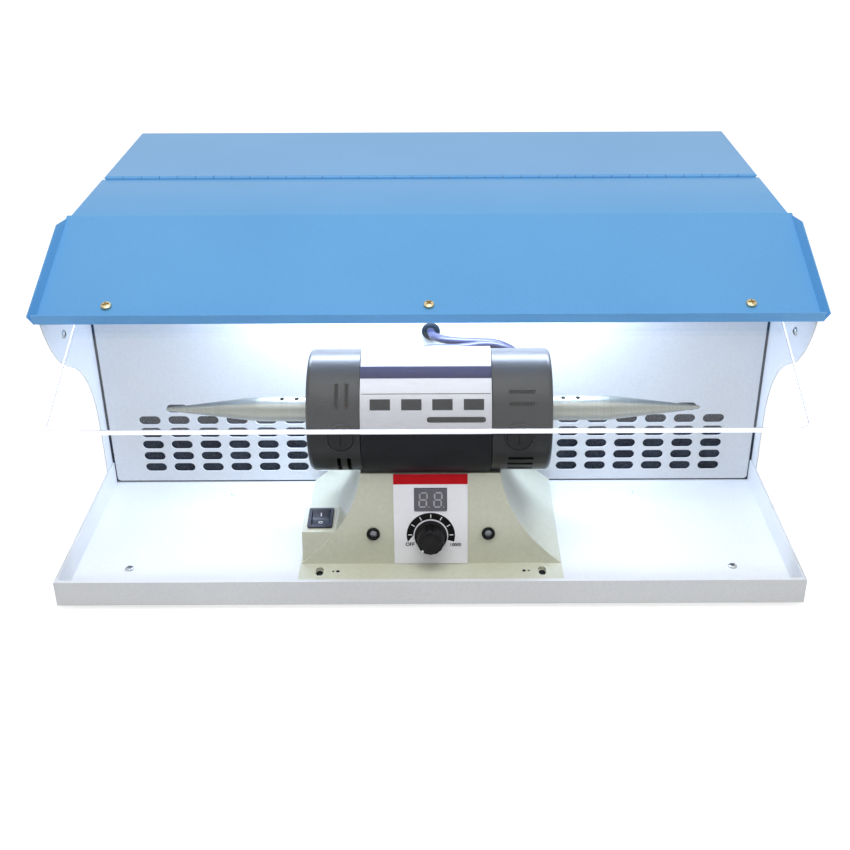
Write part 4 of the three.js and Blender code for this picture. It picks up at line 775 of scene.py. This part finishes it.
def face_plate():
    """The white face plate with its red band, dial scale and marks, printed on its face."""
    plate = prism("face_plate", round_rectangle(30.5, 39.9, 0.8, 4, (0, 40.2)), 0.3, 1.3)
    carved(plate, [block("window", (-13.55, 13.55), (47.2, 68), (-2, 4)),
                   prism("bush", arc(4.3, 0, 345, 23, (0, DIAL_UP)), -2, 4)])
    rounded(plate, 0.15, angle=50)
    settle(plate, print_frame())
    finish(plate, "cabinet", "printed_plate", "control_plate")
    band = prism("face_plate_band", round_rectangle(30.4, 4.45, 0.7, 4, (0, 75.6)), 1.28, 1.36)
    finish(settle(band, print_frame()), "cabinet", "printed_plate", look="red_ink")
    scale = arc(20, -17, 197, 60, (0, DIAL_UP)) + arc(14.4, 180, -17, 56, (0, DIAL_UP))
    finish(settle(prism("dial_scale", scale, 1.28, 1.35), print_frame()),
           "cabinet", "printed_plate", look="black_ink")
    tick = prism("tick", [(15.4, -0.4), (18.6, -0.4), (18.6, 0.4), (15.4, 0.4)], 1.3, 1.39)
    ticks = [copied(tick, "tick", (0, DIAL_UP, 0), math.radians(1 + i * 29.6)) for i in range(7)]
    bpy.data.objects.remove(tick)
    finish(settle(joined(ticks, "dial_ticks"), print_frame()), "cabinet", "printed_plate", look="white_ink")
    for text, x, y, size in (("OFF", -17.3, 17.8, 4.2), ("10000", 20.4, 17.4, 3.8)):
        dial_word(text, x, y, size)


def dial_word(text, x, y, size):
    """Plain lettering printed on the face plate, centred on a place."""
    low, high = 1.28, 1.36
    bpy.ops.object.select_all(action="DESELECT")
    bpy.ops.object.text_add(location=(x, y, low))
    words = bpy.context.object
    words.name = f"dial_word_{text.lower()}"
    words.data.body = text
    words.data.size = size
    words.data.align_x = "CENTER"
    words.data.align_y = "CENTER"
    words.data.offset = 0.035 * size
    words.data.extrude = (high - low) / 2
    words.data.resolution_u = 4
    bpy.ops.object.convert(target="MESH")
    bpy.ops.object.transform_apply()
    finish(settle(words, print_frame()), "cabinet", "printed_plate", look="black_ink")


def speed_display():
    """The two-digit display: a smoked window with its unlit segments and points."""
    window = prism("display_window", round_rectangle(13.25, 10.1, 0.5, 4, (0, DISPLAY_UP)), -12, 1.7)
    rounded(window, 0.25, angle=50)
    finish(settle(window, print_frame()), "cabinet", "display_face", "speed_display")
    bar = [(-2.6, 0), (-2.0, 0.62), (2.0, 0.62), (2.6, 0), (2.0, -0.62), (-2.0, -0.62)]
    segment = prism("segment", bar, 1.66, 1.74)
    parts = []
    for digit in (-6.1, 6.1):
        for x, y, turn in ((0, 6.2, 0), (0, 0, 0), (0, -6.2, 0), (-2.95, 3.1, 90), (2.95, 3.1, 90),
                           (-2.95, -3.1, 90), (2.95, -3.1, 90)):
            lean = y * 0.09
            place = (digit + x + lean, DISPLAY_UP + y, 0)
            parts.append(copied(segment, "segment", place, math.radians(turn)))
        parts.append(prism("point", arc(0.5, 0, 330, 11, (digit + 4.6, DISPLAY_UP - 6.3)), 1.66, 1.74))
    bpy.data.objects.remove(segment)
    digits = settle(joined(parts, "display_segments"), print_frame())
    finish(digits, "cabinet", "display_face", look="segment_grey")


FLUTES = 14


def speed_knob():
    """The fluted knob: a skirt, a tapered grip with scallops, and a white pointer dot."""
    profile = [(2.8, 12.2), (2.8, 2.2), (13.1, 2.2), (13.5, 2.6), (13.5, 4), (13.2, 4.5), (11.7, 4.8),
               (11.4, 5.4), (10.9, 16.4), (10.5, 17.2), (9.9, 17.6), (9, 17.7), (8.6, 17.4), (4, 17.2),
               (1, 17.2)]
    knob = turned("knob_moulding", profile, 112)
    for vertex in knob.data.vertices:
        radius = math.hypot(vertex.co.x, vertex.co.y)
        if vertex.co.z > 5 and radius > 8.8:
            scallop = max(0, math.cos(FLUTES * math.atan2(vertex.co.y, vertex.co.x))) ** 2
            share = 1 - 0.04 * scallop
            vertex.co.x *= share
            vertex.co.y *= share
    placed(shaded(knob, 40), Matrix.Translation((0, DIAL_UP, 0)))
    settle(knob, print_frame())
    finish(knob, "speed_dial", "gloss_black", "speed_knob")
    dot = prism("knob_pointer", arc(0.9, 0, 345, 23, (-6.6, DIAL_UP - 7.2)), 17.3, 17.75)
    finish(settle(dot, print_frame()), "speed_dial", "gloss_black", look="white_ink")


def cover_fasteners():
    """Cross-head screws in black rubber rings, either side of the face plate."""
    ring = turned("ring", [(3.2, 0.3), (5.2, 0.3), (5.5, 0.7), (5.5, 1.5), (5.2, 2.1), (4.4, 2.4), (3.6, 2.2),
                           (3.2, 1.7), (3.2, 0.3)], 48)
    shaded(ring, 60)
    screw = pan_screw(3, 1.1, 1.7, 9)
    up = 27.2
    for side, x in (("left", -47.6), ("right", 47.6)):
        collar = settle(copied(ring, f"rubber_collar_{side}", (x, up, 0)), print_frame())
        finish(collar, "cabinet", "rubber", f"screw_ring_{side}")
        head = settle(copied(screw, f"cover_screw_{side}_m3", (x, up, GAP), 0.5), print_frame())
        finish(head, "cabinet", "zinc_steel", f"cover_screw_{side}", look="nickel_screw")
    bpy.data.objects.remove(ring)
    bpy.data.objects.remove(screw)


ROCKER_HALF = 9.3


def power_switch():
    """The rocker switch: a bezel with round corners, and a shallow vee of a rocker marked I and O."""
    bezel = prism("switch_bezel_moulding", round_rectangle(10.5, 13, 1.6, 6), 0.3, 1.9)
    carved(bezel, [prism("well", round_rectangle(7.5, 9.9, 0.5, 4), -1, 3)])
    rounded(bezel, 0.4, 3, 50)
    well = block("well", (-9.2, 9.2), (-11, 11), (-19, 0.4))
    carved(well, [block("room", (-7.5, 7.5), (-9.9, 9.9), (-9, 3))])
    bezel = settle(joined([bezel, well], "switch_bezel_moulding"), SWITCH)
    finish(bezel, "cabinet", "gloss_black", "switch_bezel", look="switch_plastic")
    end = ROCKER_HALF
    outline = [(-end, 1.6), (1.6 - end, -4.5), (end - 1.6, -4.5), (end, 1.6)]
    outline += [(y, rocker_top(y)) for y in [end * (1 - i / 6) for i in range(1, 12)]]
    rocker = prism("rocker_key", outline, -7.2, 7.2)
    rounded(rocker, 0.35, angle=50)
    axis = SWITCH @ Matrix.Translation((0, 0, 0.5 * MM)) @ Matrix.Rotation(math.radians(8), 4, "X")
    settle(rocker, axis @ Matrix.Rotation(math.pi / 2, 4, "Z") @ TO_USER)
    finish(rocker, "switch_key", "gloss_black", "switch_rocker", look="switch_plastic")
    mark = block("rocker_mark_on", (-0.35, 0.35), (2.9, 6.2), (-0.1, 0.42))
    for vertex in mark.data.vertices:
        if vertex.co.z > 0:
            vertex.co.z = rocker_top(vertex.co.y) + 0.06
    finish(settle(mark, axis), "switch_key", "gloss_black", look="white_ink")
    ring = turned("rocker_mark_off", [(1.2, -0.1), (1.75, -0.1), (1.75, 0.1), (1.2, 0.1), (1.2, -0.1)], 32)
    for vertex in ring.data.vertices:
        vertex.co.y -= 4.6
        vertex.co.z += rocker_top(vertex.co.y) - 0.02
    finish(settle(ring, axis), "switch_key", "gloss_black", look="white_ink")


def rocker_top(y):
    """The height of the rocker's face above its axle at a place along it."""
    return -0.8 + 2.4 * abs(y / ROCKER_HALF) ** 1.6


# Motor

def sector(inner, outer, start, end, steps):
    """A ring sector in the axle frame; angles run from the motor's top towards the user."""
    return arc(outer, 180 + start, 180 + end, steps) + arc(inner, 180 + end, 180 + start, steps)


def motor_housing():
    """The drawn steel body between the caps, its two ends rolled over a little."""
    outer, inner = HOUSING_RADIUS, HOUSING_RADIUS - 3.5
    profile = [(inner, HOUSING_LEFT), (outer - 0.8, HOUSING_LEFT), (outer - 0.2, HOUSING_LEFT + 0.3),
               (outer, HOUSING_LEFT + 1), (outer, HOUSING_RIGHT - 1), (outer - 0.2, HOUSING_RIGHT - 0.3),
               (outer - 0.8, HOUSING_RIGHT), (inner, HOUSING_RIGHT), (inner, HOUSING_LEFT)]
    piece = settle(shaded(turned("motor_body", profile, 128), 30), MOTOR_AXLE)
    finish(piece, "cabinet", "motor_enamel", "motor_housing")


def rating_plate():
    """The silver plate wrapped round the front of the motor, with its printed blocks left bare."""
    low, high = HOUSING_LEFT + GAP, HOUSING_RIGHT - GAP
    face = HOUSING_RADIUS + 1
    plate = prism("rating_plate", sector(HOUSING_RADIUS + GAP, face, -12, 84, 48), low, high)
    rounded(plate, 0.1, 1, 60)
    finish(settle(plate, MOTOR_AXLE), "cabinet", "printed_label", "motor_label")
    prints = [("band", 23, 35.7, low, high, "navy_ink"), ("rule", 49.7, 50.3, low + 1, high - 1, "grey_ink")]
    for i, x in enumerate((-38.3, -13.9, 10.2, 34.6)):
        prints.append((f"box_{i + 1}", 54.6, 64.2, x - 7.9, x + 7.9, "grey_ink"))
    for name, start, end, x0, x1, ink in prints:
        patch = prism(f"plate_{name}", sector(face - 0.05, face + 0.06, start, end, 12), x0, x1)
        finish(settle(shaded(patch, 30), MOTOR_AXLE), "cabinet", "printed_label", look=ink)
    pill(face)


def pill(face):
    """A round-ended bar printed along the lower edge of the rating plate."""
    x0, x1, start, end = -2.0, 44.0, 70, 75
    steps = 10
    rows = []
    for i in range(steps + 1):
        across = -1 + 2 * i / steps
        inset = 2.2 * (1 - math.sqrt(max(0, 1 - across * across)))
        rows.append((start + (end - start) * i / steps, x0 + inset, x1 - inset))
    outline = [(row[1], row[0]) for row in rows] + [(row[2], row[0]) for row in reversed(rows)]
    bar = prism("plate_bar", outline, 0, 0.11)
    for vertex in bar.data.vertices:
        x, degrees, proud = vertex.co
        angle = math.radians(180 + degrees)
        radius = face - 0.05 + proud
        vertex.co = (radius * math.cos(angle), radius * math.sin(angle), x)
    only(bar)
    bpy.ops.object.mode_set(mode="EDIT")
    bpy.ops.mesh.select_all(action="SELECT")
    bpy.ops.mesh.normals_make_consistent(inside=False)
    bpy.ops.object.mode_set(mode="OBJECT")
    finish(settle(shaded(bar, 30), MOTOR_AXLE), "cabinet", "printed_label", look="grey_ink")


BOSS_X = {"left": -69.6, "right": 70.3}
VENT_HALF = 1.6


def boss_frame(name, depth):
    """The frame of a cap's brush, facing the user from a depth below the cap's front."""
    return Matrix.Translation((0, depth - CAP_RADIUS, BOSS_X[name])) @ TO_USER


def end_cap(name, side):
    """A moulded end cap: a shell with a round shoulder, a brush boss in front and its vents."""
    joint = HOUSING_LEFT - GAP if side < 0 else HOUSING_RIGHT + GAP
    end = side * MOTOR_END
    corner = [(CAP_RADIUS - 4 + 4 * math.sin(a), end - side * (4 - 4 * math.cos(a)))
              for a in [math.pi / 2 * (8 - i) / 8 for i in range(9)]]
    profile = [(45.8, joint), (CAP_RADIUS - 0.4, joint), (CAP_RADIUS, joint + side * 0.4)] + corner
    profile += [(14, end), (13, end - side * 0.6), (6.6, end - side * 0.6), (6.6, end - side * 4),
                (13.3, end - side * 4), (13.3, end - side * 13.3), (15.7, end - side * 13.3),
                (15.7, end - side * 4), (45.8, end - side * 4), (45.8, joint)]
    cap = turned(f"cap_{name}", profile, 128)
    boss = turned("boss", [(12, 0), (12, 6.5), (11.8, 6.9), (11.4, 7)], 64)
    carved(cap, [placed(boss, boss_frame(name, 6.4))], "UNION")
    tools = [placed(turned("recess", [(10.3, 0), (10.3, 6)], 64), boss_frame(name, 2.6))]
    if side < 0:
        for start, stop in ((39, 63), (114, 144)):
            for x in (-72.5, -64.5):
                tools.append(prism("vent", sector(44, 52, start, stop, 12), x - VENT_HALF, x + VENT_HALF))
    else:
        for degrees in (47.5, 58.7, 115, 125, 137):
            slot = block("vent", (44, 52), (-VENT_HALF, VENT_HALF), (62, 82.5))
            tools.append(copied(slot, "vent", turn=math.radians(180 + degrees)))
            bpy.data.objects.remove(slot)
    carved(cap, tools)
    rounded(cap, 0.3, angle=50)
    finish(settle(cap, MOTOR_AXLE), "cabinet", "cap_plastic", f"end_cap_{name}")
    brush = turned("brush", [(4, 0), (10, 0), (10, 3), (9.6, 3.4), (9, 3.5), (2, 3.5)], 64)
    carved(brush, [block("slot", (-5, 5), (-0.55, 0.55), (2.5, 5))])
    placed(rounded(brush, 0.2, angle=50), boss_frame(name, 2.55))
    settle(brush, MOTOR_AXLE)
    finish(brush, "cabinet", "cap_plastic", f"brush_cap_{name}", look="black_plastic")


SLEEVE = 10.1


def spindle(name, tip):
    """A tapered spindle: a parallel sleeve on the motor shaft with two set screws, then a long point."""
    side = -1 if name == "left" else 1
    start = MOTOR_END + 1
    profile = [(0.6, 112.3), (5.3, 112.3), (5.3, start), (9.3, start), (SLEEVE, start + 0.8),
               (SLEEVE, tip - 75.6), (10, tip - 74.8), (1.5, tip - 1.6), (1.2, tip - 0.7), (0.6, tip)]
    piece = turned(f"spindle_{name}_taper", [(r, side * z) for r, z in profile], ROUND)
    holes, screws = [], []
    for place in (108.2, 120.2):
        inward = Matrix.Rotation(math.radians(9), 4, "Z")
        inward @= Matrix.Translation((2.4 - SLEEVE, 0, side * place)) @ Matrix.Rotation(-math.pi / 2, 4, "Y")
        holes.append(placed(turned("hole", [(1.9, 0), (1.9, 6)], 24), inward))
        screw = turned("set_screw", [(1.85, -0.5), (1.85, 0.8), (1.5, 1.1), (1, 1.1), (0.9, 0.2)], 24)
        screws.append(placed(screw, inward))
    carved(piece, holes)
    shaded(piece, 30)
    settle(piece, MOTOR_AXLE)
    finish(piece, "motor_shaft", "bright_steel", f"spindle_{name}")
    pair = settle(shaded(joined(screws, f"set_screws_{name}"), 30), MOTOR_AXLE)
    finish(pair, "motor_shaft", "zinc_steel", look="black_screw")


# Stage

def background_rays(material):
    """One for what the camera, glossy and clear surfaces see, and nothing for light on surfaces."""
    rays = add_node(material, "ShaderNodeLightPath").outputs
    seen = add_node(material, "ShaderNodeMath", {0: rays["Is Camera Ray"], 1: rays["Is Glossy Ray"]},
                    operation="MAXIMUM")
    return add_node(material, "ShaderNodeMath", {0: seen.outputs[0], 1: rays["Is Transmission Ray"]},
                    operation="MAXIMUM").outputs[0]


def area_lamp(name, place, aim, size, power, tint=(1, 1, 1)):
    data = bpy.data.lights.new(name, "AREA")
    data.shape = "RECTANGLE"
    data.size, data.size_y = size
    data.energy = power
    data.color = tint
    light = bpy.data.objects.new(name, data)
    bpy.context.scene.collection.objects.link(light)
    light.location = place
    light.rotation_euler = (Vector(place) - Vector(aim)).to_track_quat("Z", "Y").to_euler()


def stage():
    """A white floor that keeps the shadow, white all round, a softbox over the user, and the bay's lamp."""
    paint, shader = start_material("studio_floor", {
        "Base Color": colour("#e9e9e9"), "Roughness": 0.9, "Emission Color": (1, 1, 1, 1)})
    lift = add_node(paint, "ShaderNodeMath", {0: background_rays(paint), 1: 0.66}, operation="MULTIPLY")
    paint.node_tree.links.new(lift.outputs[0], shader.inputs["Emission Strength"])
    bpy.ops.object.select_all(action="DESELECT")
    bpy.ops.mesh.primitive_plane_add(size=12)
    floor = bpy.context.object
    floor.name = "studio_floor"
    floor.data.materials.append(paint)
    world = bpy.data.worlds.new("studio")
    bpy.context.scene.world = world
    world.use_nodes = True
    background = world.node_tree.nodes["Background"]
    background.inputs["Color"].default_value = (1, 1, 1, 1)
    level = add_node(world, "ShaderNodeMapRange", {
        "Value": background_rays(world), "To Min": 0.44, "To Max": 1})
    world.node_tree.links.new(level.outputs[0], background.inputs["Strength"])
    area_lamp("softbox", (0, -0.6, 1.62), (0, -0.08, 0.15), (1.4, 1.2), 12.6)
    low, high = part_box("lamp_diffuser")
    under = Vector(((low.x + high.x) / 2, low.y - 0.02, low.z - 0.004))
    area_lamp("lamp_light", under, under + Vector((0, -0.1, -1)), (0.3, 0.03), 1.62, (0.7, 0.81, 1))
    bpy.context.scene.view_settings.view_transform = "Standard"


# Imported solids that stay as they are, each with its finish
CAD_FINISHES = {
    "hinge_pin": "bright_steel", "bearing_left": "bright_steel", "bearing_right": "bright_steel",
    "potentiometer": "zinc_steel", "pot_shaft": "lamp_aluminium", "control_board": "circuit_board",
    "stator": "motor_iron", "rotor": "winding_copper",
}

place_camera()
materials = make_materials()
for node, material in CAD_FINISHES.items():
    nodes[node].data.materials.clear()
    nodes[node].data.materials.append(materials[material])
motor_lead()
panel_grommet()
strain_relief()
softened_pieces()
perforated_panel()
painted_shade_strips()
filter_pad()
rubber_feet()
small_screws()
fan_fittings()
hinge()
acrylic_shield()
shield_fasteners()
base_fasteners()
face_plate()
speed_display()
speed_knob()
cover_fasteners()
power_switch()
motor_housing()
rating_plate()
end_cap("left", -1)
end_cap("right", 1)
spindle("left", 215.5)
spindle("right", 220.5)
stage()
